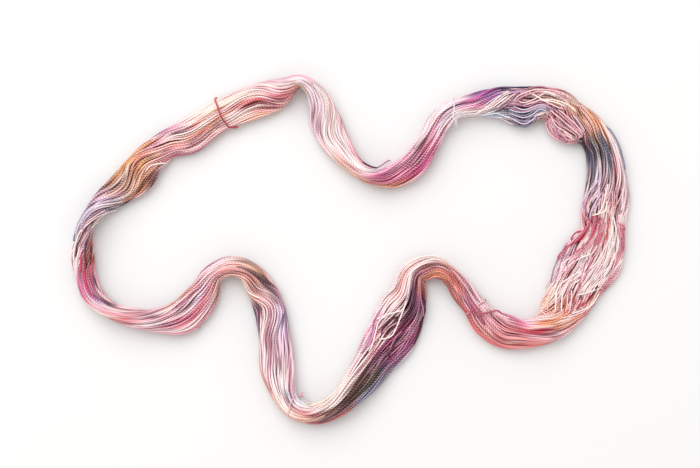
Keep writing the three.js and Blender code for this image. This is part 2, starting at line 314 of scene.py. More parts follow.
# for each dye: a stroke's width in half widths, then row and side of the places it runs through;
# where its last side is left out, it is the same as the one before
dyeStrokes = {}
dyeStrokes["undyed"] = (
    (0.1, 47.7, -0.05, 48.4), (0.03, 31.6, 0.4, 33.2, 0.42), (0.02, 32, -0.1, 33.4, -0.15),
    (0.12, 5.4, 0.8, 7, 0.75), (0.12, 22.8, 0.75, 24.4), (0.12, 47.6, 0, 48.6),
    (0.08, 12.6, -0.8, 13.8, -0.75), (0.08, 26.4, 0.3, 28.6, 0.32), (0.06, 27, -0.2, 28.8, -0.15),
    (0.08, 24.2, 0.62, 26, 0.66), (0.08, -1, -0.4, 0.2, -0.38),
    (0.07, 0.6, 0.66, 1.1, 0.68, 2, 0.42, 2.6, 0.38, 3.1, 0), (0.06, 0.3, -0.25, 1.1, -0.25, 1.6, -0.5),
    (0.12, 3.2, -0.4, 3.8, -0.6), (0.15, 4.2, 0.65, 5.2, 0.6),
    (0.2, 5, 0.55, 6, 0.3, 6.5, -0.2, 6.75, -0.6), (0.06, 5.7, -0.25, 6.3, -0.5), (0.25, 6.8, 0.3, 8),
    (0.06, 6.7, -0.65, 7.4, -0.25, 8, -0.15), (0.08, 8.1, 0, 8.6, 0.5, 8.85, 0.8),
    (0.08, 10, 0.95, 11.4, 0.92), (0.12, 11, 0.95, 13.4, 0.85),
    (0.06, 11.2, 0.65, 12.4, 0.45, 13.2, 0.42, 13.9, 0.6), (0.3, 12.7, -0.4, 14.2), (0.15, 14.2, -0.75, 15),
    (0.07, 15, -0.68, 15.5, -0.3, 16, 0.1, 16.4, 0.45, 16.7, 0.75),
    (0.05, 15.5, -0.55, 16, -0.15, 16.4, 0.25, 16.6, 0.5), (0.05, 15.8, -0.9, 16.4, -0.6),
    (0.07, 21.2, 0.85, 21.8, 0.55, 22.6, 0.7, 23.4, 0.92), (0.14, 23.6, 0.9, 25.6),
    (0.08, 23, 0, 24.6, 0.02, 25, -0.1, 25.15, -0.5), (0.1, 23.6, -0.65, 24.8, -0.72),
    (0.06, 26.2, 0.5, 27.2, 0.6, 27.9, 0.7), (0.05, 26.4, 1, 27, 0.8), (0.06, 26.5, 0, 28.2),
    (0.05, 27.8, -0.75, 28.5, -0.5), (0.06, 28, -0.9, 29, -0.75), (0.04, 27.9, 0.72, 28.3, 0.3, 28.6, 0.1),
    (0.04, 28.5, 0.8, 29, 0.4, 29.3, 0.1), (0.06, 29.5, 0.1, 29.85, -0.4, 30.05, -0.6),
    (0.07, 30.2, -0.05, 30.7, -0.4, 31, -0.55), (0.1, 33.4, -0.35, 33.9, -0.6),
    (0.06, 35.8, -0.9, 36.2, -1), (0.08, 36.7, -0.65, 37.2, -0.45, 37.9, -0.1, 38.4, -0.08),
    (0.15, 36.9, -0.8, 37.9, -0.5), (0.1, 37.5, -0.95, 38.2, -0.85), (0.08, 38.8, -0.1, 40, -0.08),
    (0.12, 39.2, -0.45, 40.2, -0.4), (0.1, 39.4, -0.8, 40.3),
    (0.04, 40.1, -0.02, 40.7, 0.02, 41.1, -0.15, 41.4, -0.35),
    (0.05, 40, -0.15, 40.4, -0.5, 40.8, -0.7, 41.4), (0.05, 41, -0.4, 41.8, -0.3, 42.6, -0.55),
    (0.08, 40.2, -0.95, 41.2), (0.15, 43, -0.55, 44.6, -0.5), (0.15, 44.4, -0.3, 45.8, -0.45),
    (0.08, 46.4, 0.3, 47.4), (0.08, 47, 0.45, 47.8, 0.1, 48.3, -0.3), (0.08, 47.4, -0.3, 48.4, -0.45),
    (0.06, 48.3, 0.02, 49.2, 0.12, 50.2, 0), (0.07, 49.3, 0.92, 49.8, 0.6, 50.5, 0.3, 51, 0.05),
    (0.1, 53.6, -0.7, 54.6), (0.05, 55.9, 0.72, 57.4, 0.7), (0.04, 55.3, 0.12, 56.2, -0.05, 57, 0.02),
    (0.05, 55.1, -0.3, 55.9, -0.6, 57, -0.72, 57.8, -0.62), (0.04, 56.2, -0.4, 57.3, -0.52),
    (0.05, 57.6, -0.05, 58.2, 0.25, 58.7, 0.6),
    (0.06, 59.2, -0.9, 59.7, -0.4, 60.3, 0.15, 60.8, 0.6, 61.2, 0.95),
    (0.06, 62.3, 0.92, 62.7, 0.6, 63.2, 0.3, 63.9, 0.05),
    (0.05, 63.4, 0.55, 64.1, 0.25, 64.6, -0.1, 65.2, -0.6), (0.05, 63.8, -0.1, 64.4, -0.35, 64.9, -0.75),
    (0.07, 64.8, 0.4, 65.4, 0.05, 65.9, -0.25), (0.06, 64.9, -0.1, 65.4, -0.45, 66.1, -0.7),
    (0.05, 64.9, -0.5, 65.6, -0.85), (0.07, 65, 0.95, 65.5, 0.9),
    (0.07, 69.3, 0.85, 69.9, 0.6, 70.5, 0.32, 71.4, 0.08, 72.4, 0.15), (0.08, 70.6, 0.62, 71.6, 0.6),
    (0.04, 71, -0.6, 72.2),
)
dyeStrokes["cream"] = (
    (0.14, -0.6, -0.6, 0.6), (0.1, -0.5, 0, 0.5, 0.05), (0.08, 66.6, -0.6, 67.3, -0.5),
    (0.25, -1, 0.85, 0.6, 0.8), (0.18, 0.2, 0.5, 1, 0.62, 2, 0.4), (0.1, -1, 0.3, -0.3, 0.35),
    (0.12, 0.2, -0.5, 1), (0.04, 17.4, -0.6, 18, -0.5, 18.5, -0.68),
    (0.05, 17.8, 0.5, 18.3, 0.2, 18.9, 0.15, 19.3, 0.45), (0.04, 17.9, 0.65, 18.6, 0.75, 19.2, 0.8),
    (0.05, 18, 0.3, 18.6, 0.6, 19.2, 0.55), (0.04, 20.6, 0.35, 20.9, -0.1, 21.2, -0.35),
    (0.03, 21.2, -0.35, 22, -0.3, 22.9), (0.09, 24.9, 0.25, 26.2, 0.28), (0.1, 28.5, -0.55, 29.2, -0.7),
    (0.05, 29.55, 0.75, 29.9, 0.2, 30.3, -0.25, 30.8, -0.55), (0.03, 31.8, 0.62, 32.6, 0.6),
    (0.12, 43.4, -0.8, 45.4, -0.75), (0.05, 45.4, 0.5, 46.5, 0.6), (0.05, 46.8, 0.6, 47.6, 0.55),
    (0.05, 51.2, -0.4, 51.5, 0.15, 51.9, 0.6, 52.3, 0.8), (0.08, 52, 0.75, 53.3, 0.8),
    (0.06, 59.5, 0.1, 60.3, 0.85), (0.07, 60.2, 0.85, 60.9, 0.95), (0.04, 66.4, 0.45, 67.4, 0.4, 68, 0.5),
    (0.04, 66.6, 0, 67.4, -0.05, 68, 0.08), (0.04, 66.9, -0.4, 67.6, -0.35, 68.3, -0.2),
    (0.04, 68.6, -0.2, 69, -0.5, 69.4, -0.9), (0.18, 71.5, 0.8, 72.9), (0.1, 71.5, 0.45, 72.6),
)
dyeStrokes["blush"] = (
    (0.1, 9.6, 0.7, 10.4, 0.75), (0.1, 19.6, -0.55, 20.3), (0.1, 54.6, 0.7, 55.4), (0.1, 57.6, 0.7, 58.4),
    (0.1, 69.6, 0.05, 70.4), (0.08, 1.7, -0.12, 2.3, -0.15), (0.08, 6.7, 0.1, 7.4, 0.05),
    (0.08, 9.7, 0.6, 10.4, 0.65), (0.1, 12.8, 0.55, 13.4), (0.08, 25.7, 0, 26.3), (0.08, 31.6, -0.5, 32.5),
    (0.1, 50.7, 0.05, 51.3), (0.1, 52.8, 0.6, 54.4, 0.65), (0.1, 53.8, 0, 54.3), (0.08, 54.7, 0.55, 55.3),
    (0.1, 56.8, 0.6, 58.4), (0.08, 69.7, 0.15, 70.3), (0.08, 69.7, -0.15, 70.3), (0.12, 1.7, 0.05, 2.4, 0),
    (0.15, 9.7, 0.75, 10.5, 0.8), (0.12, 12.8, 0.7, 13.4), (0.12, 19.7, -0.6, 20.3, -0.65),
    (0.12, 31.6, -0.65, 32.5), (0.14, 54.7, 0.7, 55.3), (0.14, 57.7, 0.7, 58.4, 0.75),
    (0.1, 69.7, -0.65, 70.4), (0.12, 69.7, 0, 70.3), (0.1, 1.8, 0, 2.4), (0.1, 19.7, -0.7, 20.4),
    (0.08, 25.7, 0.1, 26.4), (0.12, 57.5, 0.75, 58.6, 0.8), (0.15, 0.8, 0.85, 2, 0.8),
    (0.1, 1.8, 0.15, 2.6, 0.1), (0.1, 2.6, 0.7, 3.1, 0.3, 3.5, -0.3), (0.12, 11.6, 0.75, 12.6, 0.7),
    (0.12, 23.8, 0, 24.8, 0.05), (0.1, 45.6, 0, 46.4, 0.1), (0.15, 41.6, -0.7, 42.8),
    (0.15, 47.6, -0.7, 48.6), (0.1, 50.6, 0, 51.4, 0.05), (0.15, 57.4, 0.7, 58.6, 0.75),
    (0.12, 57.6, 0.05, 58.6), (0.12, 69.6, 0, 70.6, 0.05), (0.15, 70.4, 0.8, 71.4),
    (0.15, 71.5, -0.75, 72.6), (0.12, 9.6, 0.85, 10.6, 0.95), (0.12, 11.6, -0.9, 13.2, -0.7),
    (0.1, 25.8, 0.45, 29, 0.5), (0.1, 26, 0, 29, -0.1), (0.1, 26.2, -0.45, 28.8, -0.4),
    (0.08, -0.6, 0.12, 0.6, 0.16), (0.12, 71, -0.62, 72.9, -0.6), (0.1, 72, -0.8, 73.4, -0.75),
    (0.1, 57.6, 0.5, 58.6, 0.7), (0.1, 57.6, 0, 58.6, 0.1), (0.1, 29, 0.5, 31.5, 0.75),
    (0.08, 30.8, 0.2, 32.4, 0.1), (0.25, 3.4, 0.2, 5, 0.3), (0.1, 5.1, -0.85, 6.4, -0.8),
    (0.08, 7, 0.6, 8, 0.55), (0.1, 8.2, -0.3, 8.8, 0), (0.04, 10.2, 0, 10.8, 0.18, 11.4, 0.1),
    (0.04, 10.4, -0.2, 10.9, -0.06, 11.5, -0.2), (0.05, 11.4, 0.12, 12.2, -0.02, 13, 0.15),
    (0.08, 12.8, 0.15, 13.6, 0.05), (0.1, 13.9, 0.95, 14.6, 0.8), (0.04, 16.7, 0.28, 17.3, 0.22, 17.7, 0.2),
    (0.08, 19.2, 0.78, 20.3, 0.72), (0.07, 19.6, -0.35, 20.2, -0.45, 20.5, -0.75),
    (0.18, 23.4, 0.72, 25.6, 0.78), (0.12, 23.6, 0.1, 25.2, 0.15), (0.1, 23.6, -0.4, 25, -0.45),
    (0.15, 26.3, 0.25, 28.2), (0.06, 26.6, -0.45, 27.6, -0.55), (0.1, 28.3, -0.25, 29),
    (0.05, 30.3, 0.85, 30.9, 0.35, 31.4, -0.05), (0.06, 32.3, -0.75, 33.1, -0.8),
    (0.1, 33.6, -0.8, 34.9, -0.9), (0.1, 34, -0.2, 34.8, -0.35), (0.08, 35, -0.85, 36),
    (0.15, 38.1, -0.4, 39.2, -0.45), (0.1, 38.2, -0.75, 39.2, -0.8), (0.06, 39.4, -0.25, 40.1),
    (0.1, 42.2, -0.85, 43, -0.8), (0.08, 46.2, 0.98, 47.2, 0.95), (0.08, 47.6, 0.55, 48.6, 0.7, 49.3, 0.75),
    (0.08, 48.3, -0.38, 49.4, -0.3), (0.08, 48, -0.95, 49.6, -0.85), (0.08, 49.6, 0.1, 50.6, -0.2),
    (0.15, 53.6, -0.4, 54.9), (0.1, 54.6, 0.75, 55.3, 0.7), (0.07, 57.8, -0.5, 58.6, -0.3),
    (0.1, 58.1, -0.8, 59.3, -0.85), (0.06, 59.6, -0.5, 60.3, -0.05, 60.8, 0.35),
    (0.06, 60.4, -0.75, 61.4, -0.72), (0.05, 69.5, 0.35, 70.3, 0.05, 71, -0.15), (0.06, 71, -0.4, 72.3),
)
dyeStrokes["pink"] = (
    (0.08, 27.7, -0.5, 28.3), (0.08, 62.8, 0.15, 63.3), (0.1, 2.8, 0.7, 3.4, 0.6), (0.12, 33.7, 0.7, 34.4),
    (0.1, 62.8, 0, 63.3), (0.12, 1.8, 0.8, 3.4), (0.1, 31.6, -0.5, 33.4), (0.08, 11.8, -0.7, 12.6, -0.75),
    (0.08, 9.6, 0.85, 10.5, 0.8), (0.12, 10.8, 0.75, 11.8, 0.7), (0.15, 11.6, -0.75, 12.8, -0.7),
    (0.12, 27.6, 0.2, 28.6, 0.15), (0.1, 9.9, 0.7, 10.8, 0.8), (0.1, 31.3, 0.85, 32.8, 0.75),
    (0.08, 25.8, -0.5, 27.2, -0.8), (0.12, -1, -0.6, -0.1), (0.05, 0.2, 1, 1.3),
    (0.05, 0.5, 0.74, 1, 0.8, 1.7, 0.6), (0.05, 1.3, 0.5, 2.2, 0.25, 2.7, 0.1), (0.1, 3.4, 0.8, 3.7, 0.4),
    (0.08, 5, 0.8, 6.2, 0.7), (0.08, 7, 0.8, 8), (0.05, 11, 0.78, 12.4, 0.55, 13.3, 0.55, 13.9, 0.8),
    (0.12, 11.6, -0.85, 12.5, -0.75), (0.08, 12.2, 0.02, 12.7, 0.05), (0.15, 14.2, 0.5, 14.6, 0.35),
    (0.12, 14.3, -0.35, 15, -0.4), (0.05, 16.7, 0.55, 17.3, 0.62, 17.7, 0.55),
    (0.05, 17, -0.12, 18.2, -0.05), (0.12, 18.3, -0.2, 19.4), (0.1, 19.5, 0.12, 20.3, 0.05, 20.6, -0.3),
    (0.1, 19.7, -0.65, 20.3, -0.85), (0.06, 22.6, 0.45, 23.4, 0.5), (0.08, 23.5, -0.1, 24.6, -0.15),
    (0.07, 24.2, -0.92, 25.1, -0.85), (0.08, 26.4, 0.7, 27.6, 0.85), (0.05, 26.2, 0.12, 28.4, 0.1),
    (0.1, 28.3, 0.2, 29.1), (0.05, 29.9, 0.9, 30.4, 0.4, 31, -0.1),
    (0.06, 31.2, 0.7, 31.9, 0.25, 32.6, -0.2), (0.06, 32.2, 0, 33.4, -0.1), (0.07, 32.2, -0.5, 33.2, -0.65),
    (0.06, 33.4, 0.3, 34, 0.35), (0.08, 34.2, -0.6, 35, -0.75), (0.06, 40.5, -0.4, 41.2, -0.5, 41.9, -0.35),
    (0.06, 41.4, -0.6, 42.3, -0.7), (0.06, 45.3, 0.85, 46.2, 1), (0.08, 46.8, -0.65, 47.6, -0.55),
    (0.06, 48.2, 0.15, 49, 0.3, 50, 0.25), (0.06, 49.5, 0.6, 50.1, 0.38, 50.8, 0.1),
    (0.06, 51, 0.05, 51.5, 0.3, 51.9, 0.55), (0.07, 52.6, 0.2, 53.3, 0.25), (0.12, 53.2, 0, 54.6, 0.05),
    (0.08, 54.5, 0.5, 55.2, 0.45), (0.06, 55.8, 0.92, 57.4), (0.06, 55.4, 0.58, 57.6),
    (0.06, 55.2, -0.5, 56, -0.75), (0.07, 57.5, 0.55, 58.2, 0.95), (0.06, 57.7, -0.25, 58.4, 0.05),
    (0.07, 58.5, 0.6, 59.1, 0.95), (0.08, 58.5, -0.5, 59.3, -0.05), (0.07, 59, -0.5, 59.8, 0.1, 60.4, 0.6),
    (0.08, 60.2, -0.92, 61.8, -0.9), (0.1, 60.9, 0.5, 61.6, 0.85, 62.2), (0.07, 62, -0.9, 62.8),
    (0.06, 62.8, 0.75, 63.5, 0.55), (0.06, 69.3, 0.6, 70, 0.3, 70.8, -0.02), (0.08, 70.7, 0.88, 71.4, 0.78),
    (0.1, 70.7, -0.7, 72.4),
)
dyeStrokes["rose"] = (
    (0.06, 17.7, -0.15, 18.3), (0.08, 58.8, 0.05, 59.3), (0.1, 17.8, 0.1, 18.4), (0.1, 33.7, 0, 34.4),
    (0.07, 33.8, 0.1, 34.6), (0.06, 25.6, -0.2, 26.6, -0.25), (0.1, 1.8, -0.6, 2.5, -0.7),
    (0.12, 58.6, 0.1, 59.6), (0.08, -1, -0.95, -0.4, -0.85), (0.07, 1.4, 0.98, 2.6, 1),
    (0.07, 1.2, -0.55, 1.8, -0.85), (0.07, 5, 1, 6, 0.98), (0.07, 6.3, 0.9, 7, 0.85),
    (0.1, 5.3, -0.3, 5.9, -0.4), (0.04, 13.5, -0.7, 13.7, -0.9), (0.07, 17.9, 0.9, 18.9, 0.95),
    (0.1, 18.6, -0.5, 19.4, -0.55), (0.07, 19.4, -0.15, 20.2, -0.2, 20.6, -0.55),
    (0.06, 20.5, 0.2, 20.75, -0.25), (0.04, 23.6, 0.2, 24.8, 0.24), (0.06, 25.6, 0.76, 26.3, 0.9),
    (0.1, 25.3, -0.25, 26.6, -0.3), (0.05, 26.4, -0.15, 27.4, -0.2), (0.06, 28.2, 0.98, 29, 0.9),
    (0.07, 28.5, 0, 29.1, 0.05), (0.06, 30.5, 0.75, 31.1, 0.2, 31.6, -0.25),
    (0.08, 31.4, -0.35, 32.2, -0.75), (0.07, 32, 0.38, 33.2, 0.35), (0.08, 33, 0.65, 33.9),
    (0.07, 34.4, 0.55, 35.4, 0.35), (0.05, 41.4, -0.2, 42.2, -0.22), (0.05, 41.4, -0.92, 42.1),
    (0.06, 44.3, 0.7, 45.3, 0.75), (0.07, 44.6, -0.02, 45.4, -0.1),
    (0.05, 51.4, -0.3, 51.8, 0.15, 52.4, 0.35), (0.06, 51.9, 0.05, 52.7, 0.2),
    (0.06, 54.1, 0.2, 54.8, 0.22), (0.05, 55.9, 0.82, 57.4),
    (0.06, 54.9, 0.3, 55.8, 0.2, 56.6, 0.35, 57.5, 0.42), (0.05, 57.4, 0.3, 58.1, 0.7),
    (0.07, 58.6, 0.1, 59.2, 0.6), (0.06, 59.2, 0, 59.9, 0.6), (0.05, 63.3, 0.95, 63.9, 0.7),
    (0.05, 63.3, 0.2, 64, -0.02, 64.6, -0.4, 65, -0.75), (0.08, 69.2, -0.3, 69.8, -0.5, 70.4, -0.75),
    (0.06, 70.9, 0.5, 71.5, 0.32), (0.04, 70.6, -0.5, 71.6, -0.5, 72.4), (0.06, 71.2, -0.95, 72.2),
)
dyeStrokes["hotPink"] = (
    (0.06, 2.4, 0.95, 2.75, 0.9), (0.08, 9, 0, 9.6, 0.4, 10.2, 0.7, 10.8, 0.85),
    (0.1, 10.3, -0.45, 11.2, -0.5, 12.2, -0.6), (0.07, 10.4, 0.2, 11, 0.1, 11.8, -0.08),
    (0.06, 11.2, 0.28, 12.2, 0.12, 12.5, 0.08), (0.12, 11, -0.55, 12.3, -0.6),
    (0.07, 14.5, 0.25, 14.9, 0.4), (0.07, 14.5, -0.05, 15, -0.15, 15.3, 0.15), (0.07, 31.2, -0.6, 32, -0.9),
    (0.03, 40.3, 0.75, 41.3, 0.78), (0.08, 61.1, 0.4, 61.8, 0.65, 62.3, 0.55),
    (0.05, 69.9, 0.95, 70.4, 0.8),
)
dyeStrokes["magenta"] = (
    (0.06, 10.6, -0.15, 11.4, -0.2), (0.06, 10.6, 0.2, 11.4, 0.15), (0.03, 32.4, -0.2, 33.8, -0.15),
    (0.05, 54.8, 0.12, 55.8, 0.02, 56.6, 0.12, 57.3, 0.15),
    (0.05, 55.1, -0.15, 55.7, -0.42, 56.4, -0.55, 57.1, -0.6), (0.07, 10.7, 0.15, 11.3, 0.1),
    (0.1, 10.7, 0.05, 11.4, -0.05), (0.06, 40.7, 0.1, 41.4), (0.12, 10.6, 0, 11.6, -0.1),
    (0.16, 9, -0.4, 9.6, 0, 10.2, 0.3, 10.7, 0.45), (0.1, 9.3, -0.5, 10, -0.2, 10.6, 0.05),
    (0.08, 10.4, -0.35, 10.9, -0.22, 11.5, -0.35), (0.08, 11, -0.25, 11.6, -0.4, 12, -0.45),
    (0.07, 15.3, 0.75, 15.9, 0.8), (0.04, 38.8, 0.6, 39.2, 0.8), (0.04, 40, 0.62, 41, 0.68, 42, 0.55),
    (0.05, 40.4, 0.45, 41.6, 0.48), (0.06, 40, 0.05, 40.8, 0.12, 41.8, 0.05), (0.18, 61.4, 0.15, 62.4, 0.1),
    (0.1, 61.4, -0.4, 62.2, -0.5),
)
dyeStrokes["plum"] = (
    (0.06, 39.7, 0.65, 40.4, 0.7), (0.05, 38.8, -0.1, 39.5), (0.1, 39.6, 0.9, 40.4, 0.95),
    (0.03, 34.8, 0.8, 36, 0.82), (0.08, 38.6, 0.05, 39.6), (0.1, 20.8, -0.7, 21.4),
    (0.1, 39.4, 0.8, 40.6, 0.85), (0.07, 39.2, 0.5, 40.4, 0.6), (0.06, 50.5, 0.75, 51.5, 0.8),
    (0.07, 8.15, 0.95, 8.85, 0.98), (0.04, 9.2, 0.05, 10, 0.42, 10.7, 0.65), (0.04, 9.8, 0.15, 10.4, 0.3),
    (0.04, 11, 0.42, 11.6, 0.22), (0.04, 16.6, 0.8, 17.2, 0.95), (0.04, 16.6, 0.1, 17.2, 0.12),
    (0.06, 20.8, -0.8, 21.5, -0.75), (0.04, 23.8, -0.32, 24.7, -0.4), (0.03, 26.6, -0.72, 27, -0.7),
    (0.03, 32.4, -0.08, 33.4, -0.2), (0.02, 34.3, 0.55, 35, 0.05, 35.5, -0.15),
    (0.03, 37.8, 0.1, 38.4, 0.18, 39, 0.12), (0.07, 38.3, 0.3, 39.2, 0.28, 40, 0.4),
    (0.09, 39.5, 0.75, 40.4, 0.8, 41.2), (0.07, 39.8, 0.2, 41, 0.3, 42, 0.35),
    (0.05, 39.3, 0.05, 40.2, 0.1), (0.04, 41.2, -0.05, 42.2), (0.03, 48.6, -0.7, 49.6, -0.65),
    (0.06, 49.7, 0.85, 50.4, 0.72, 51), (0.04, 50.8, 0.78, 51.4), (0.03, 50.9, -0.55, 51.4, -0.65),
    (0.04, 58.1, -0.4, 58.7, -0.1), (0.04, 59.9, -0.75, 60.6, -0.62, 61.4, -0.55, 62.1, -0.8),
    (0.03, 62.4, 0.45, 62.9, 0.15), (0.03, 65.5, 0.98, 66.4, 0.92), (0.05, 68.8, -0.68, 69.3, -0.7),
    (0.03, 70.2, 0.5, 71, 0.35),
)
dyeStrokes["maroon"] = (
    (0.02, 31.6, 0.15, 33.4, 0.18), (0.03, 35.2, 0.62, 36.4, 0.65), (0.03, 35.4, 0.3, 36.8, 0.32),
    # painted shadow: the three strokes on this line and the first two on the next darken the turns under the
    # slack folds, where the lifted strands above cast shade
    (0.07, 16.7, 0.28, 17.6, 0.38), (0.06, 17.2, 0.08, 17.8, 0.18), (0.08, 17.9, 0.2, 18.9, 0.28),
    (0.06, 18.5, -0.1, 19.4, 0.05), (0.06, 19.5, -0.35, 20.4, -0.3), (0.04, 17.9, 0.7, 18.8, 0.76),
    (0.02, 0, -0.16, 0.8, -0.06, 1.3, -0.2, 1.9, -0.5, 2.5, -0.72, 2.9, -1),
    (0.04, 10.1, 0.1, 10.7, 0.3, 11.3, 0.25), (0.04, 10.3, -0.1, 10.8, 0.06, 11.4, -0.05),
    # partly painted shade: this maroon line, with the umber stroke at row 13.6, is dark dye drawn on a thin
    # gap between strands, where shade falls
    (0.05, 11, 0.6, 11.7, 0.42, 12.3, 0.32, 13.2, 0.26, 13.7, 0.32),
    (0.04, 11, 0.1, 11.6, -0.05, 12, -0.12), (0.03, 11.25, -0.68, 11.45, -0.78), (0.04, 16.8, 0.35, 17.6),
    (0.02, 25.8, 0.68, 26.3, 0.8), (0.05, 25.1, -0.5, 26.2, -0.6), (0.04, 28.2, 0.5, 28.7, 0.35),
    (0.04, 30.1, 0.8, 30.7, 0.25, 31.2, -0.15), (0.03, 30.7, 0.6, 31.3, 0.05, 31.7, -0.3),
    (0.03, 33.9, 0, 34.2, -0.1), (0.04, 35, -0.2, 36, -0.25, 36.7, -0.2),
    (0.02, 36.5, -0.35, 37.2, -0.1, 37.8, 0.02, 38.2, 0), (0.06, 38.95, 0.8, 39.4, 0.95, 40),
    (0.05, 40.25, -0.1, 40.7, -0.18, 41.1, -0.32), (0.06, 43.7, 0.3, 44.5, 0.4, 45.1, 0.5),
    (0.05, 43.9, 0.6, 44.6, 0.62), (0.03, 48.55, -0.22, 49), (0.02, 48.8, -0.05, 49.2, -0.08),
    (0.04, 52, -0.3, 52.8, -0.15, 53.5, 0), (0.04, 51.4, -0.75, 52, -0.7), (0.03, 56.1, -0.25, 57.2, -0.32),
    (0.06, 62.8, -0.35, 63.7, -0.38), (0.03, 63, 0.55, 63.7, 0.3, 64.3, 0, 64.9, -0.5),
    (0.03, 63.7, 0.45, 64.4, 0.15, 64.9, -0.2, 65.3, -0.6), (0.03, 66.2, 0.8, 67.2, 0.72, 67.9, 0.8),
    (0.04, 68, -0.8, 68.8), (0.03, 68.2, 0.38, 68.7, 0.3, 69.2, 0.1), (0.03, 70.8, -0.28, 71.3, -0.32),
)
dyeStrokes["crimson"] = (
    (0.06, 30.7, 0.15, 31.4, 0.1), (0.06, 30.7, -0.15, 31.3, -0.2), (0.03, 31.4, 0.5, 33.6),
    (0.08, 24.8, -0.6, 25.6, -0.65), (0.12, 30.6, 0.1, 31.6, 0), (0.07, 1.1, 0.1, 2, -0.28, 2.5, -0.35),
    (0.05, 8.1, 0.85, 8.5), (0.08, 10.2, -0.65, 11.2, -0.7), (0.07, 25.2, -0.7, 26.3, -0.75),
    (0.07, 28.05, 0.62, 28.8, 0.5), (0.09, 30.9, -0.2, 31.5, -0.55, 32, -0.75),
    (0.06, 31.4, 0.75, 32, 0.7, 32.7, 0.8), (0.12, 61.5, -0.15, 62.5, -0.1), (0.06, 62.5, -0.2, 63.2),
    (0.06, 69.4, -0.55, 70, -0.8),
)
dyeStrokes["coral"] = (
    (0.08, 35.6, -0.7, 36.4), (0.08, 35.7, -0.5, 36.3), (0.08, 36.8, 0.05, 37.3), (0.1, 35.7, -0.6, 36.3),
    (0.08, 37.8, 0.7, 38.3, 0.75), (0.1, 45.6, 0.8, 46.4), (0.12, 30.6, 0.8, 31.6, 0.75),
    (0.12, 31.6, 0.7, 33, 0.75), (0.1, 32.8, 0.6, 33.8), (0.12, 36.6, 0, 37.5, 0.1),
    (0.05, 54.6, 0.7, 55.6, 0.75), (0.1, -1, -0.1, 0, -0.08), (0.09, 2.6, -0.45, 2.9, -0.7),
    (0.05, 6.9, -0.42, 7.6, -0.42, 8.2, -0.33), (0.1, 9.7, -0.6, 10.3), (0.09, 25.2, -0.05, 26.4, -0.1),
    (0.06, 28, 0.78, 28.7, 0.75), (0.06, 29.4, 0.5, 29.9, -0.25, 30.2, -0.5), (0.08, 31.6, 0.9, 32.5),
    (0.1, 32.8, 0.9, 33.8, 0.85), (0.08, 34.2, 0.7, 35.5, 0.6), (0.12, 35, 0.7, 37, 0.75),
    (0.08, 35, 0.12, 36.2, 0.05, 37.2, 0.25), (0.08, 35, -0.4, 36.2, -0.42), (0.1, 37, 0.75, 38.3, 0.85),
    (0.07, 37.4, 0.4, 38.3, 0.55, 38.8, 0.5), (0.07, 38.2, -0.55, 39, -0.6), (0.06, 45.2, 0.08, 46.1, 0.05),
    (0.05, 47.2, 0.72, 48.2, 0.88, 49.2), (0.12, 53.3, 0.35, 54.4, 0.3), (0.1, 53.5, 0.75, 54.3),
    (0.07, 62.7, 0.95, 63.5, 0.85), (0.07, 68.3, 0.55, 69.3, 0.45),
    (0.07, 69, 0.35, 69.8, 0.05, 70.6, -0.25), (0.06, 69.6, -0.05, 70.5, -0.45),
    (0.07, 71.2, -0.25, 72.4, -0.3),
)
dyeStrokes["brick"] = (
    (0.06, 35.6, -0.45, 36.3), (0.08, 35.6, -0.1, 36.4), (0.07, 35.7, 0.05, 36.3), (0.06, 33.8, 0.05, 34.3),
    (0.08, 43.8, 0.7, 44.4), (0.06, 44.7, 0.1, 45.3), (0.04, 17.7, 0.05, 18.4), (0.05, 43.7, 0.8, 44.5),
    (0.1, 8.8, -0.75, 9.9, -0.8), (0.12, 35.4, 0.2, 36.6), (0.12, 35.6, 0.8, 36.6),
    (0.08, 0, -0.05, 0.6, 0.05, 1, 0.14, 1.5, 0, 2, -0.25, 2.6, -0.3), (0.06, 32, 0.5, 32.8, 0.55),
    (0.12, 34.1, 0.9, 35.5, 0.85), (0.1, 35, 0.95, 36.5), (0.08, 35, 0.45, 36.2, 0.5),
    (0.08, 35, -0.08, 36.2, -0.12, 37, 0.05), (0.07, 35.2, -0.6, 36), (0.1, 44.1, 0.85, 45.2, 0.9),
    (0.08, 44.2, 0.12, 45, 0.1, 45.8, -0.05), (0.05, 53.5, 0.88, 54.2, 0.9), (0.05, 56.3, -0.92, 57.6),
    (0.06, 58.9, 0.1, 59.6, 0.6), (0.07, 59.2, 0.3, 59.9, 0.9), (0.1, 62.9, -0.75, 63.9, -0.7),
)
dyeStrokes["orange"] = (
    (0.06, 67.6, 0.15, 68.4), (0.07, 68.7, -0.5, 69.2), (0.06, 68.7, -0.6, 69.3),
    (0.05, 36, 0.5, 37.2, 0.55), (0.1, 67.4, 0.7, 68.6, 0.75), (0.06, 67.6, 0.1, 68.4),
    (0.1, 9.1, -0.65, 9.8, -0.75), (0.07, 20.5, 0.95, 20.85, 0.6, 21.1, 0.3),
    (0.06, 29.1, -0.25, 29.7, -0.5), (0.06, 29.25, 0.85, 29.6, 0.3, 29.95, -0.1, 30.4, -0.45),
    (0.05, 29.75, 0.55, 30.15, 0.05, 30.6, -0.35), (0.08, 35.9, 0.35, 37, 0.35, 37.6, 0.52),
    (0.06, 37.2, 0.5, 38, 0.68, 38.6, 0.6), (0.05, 67, -0.55, 67.7, -0.45, 68.3, -0.3),
    (0.04, 67.1, -0.8, 67.8, -0.65), (0.09, 67.8, 0.9, 69, 0.85),
    (0.06, 68.2, -0.1, 68.9, -0.15, 69.3, -0.3),
)
dyeStrokes["gold"] = (
    (0.1, 67.6, 0.7, 68.4), (0.06, 20.7, 0.55, 21, 0.05, 21.3, -0.28), (0.04, 52.6, -0.55, 53, -0.65),
    (0.06, 68, 0.72, 68.7), (0.08, 68.1, 0.1, 68.8, 0), (0.05, 68.8, 0.2, 69.4, -0.1),
)
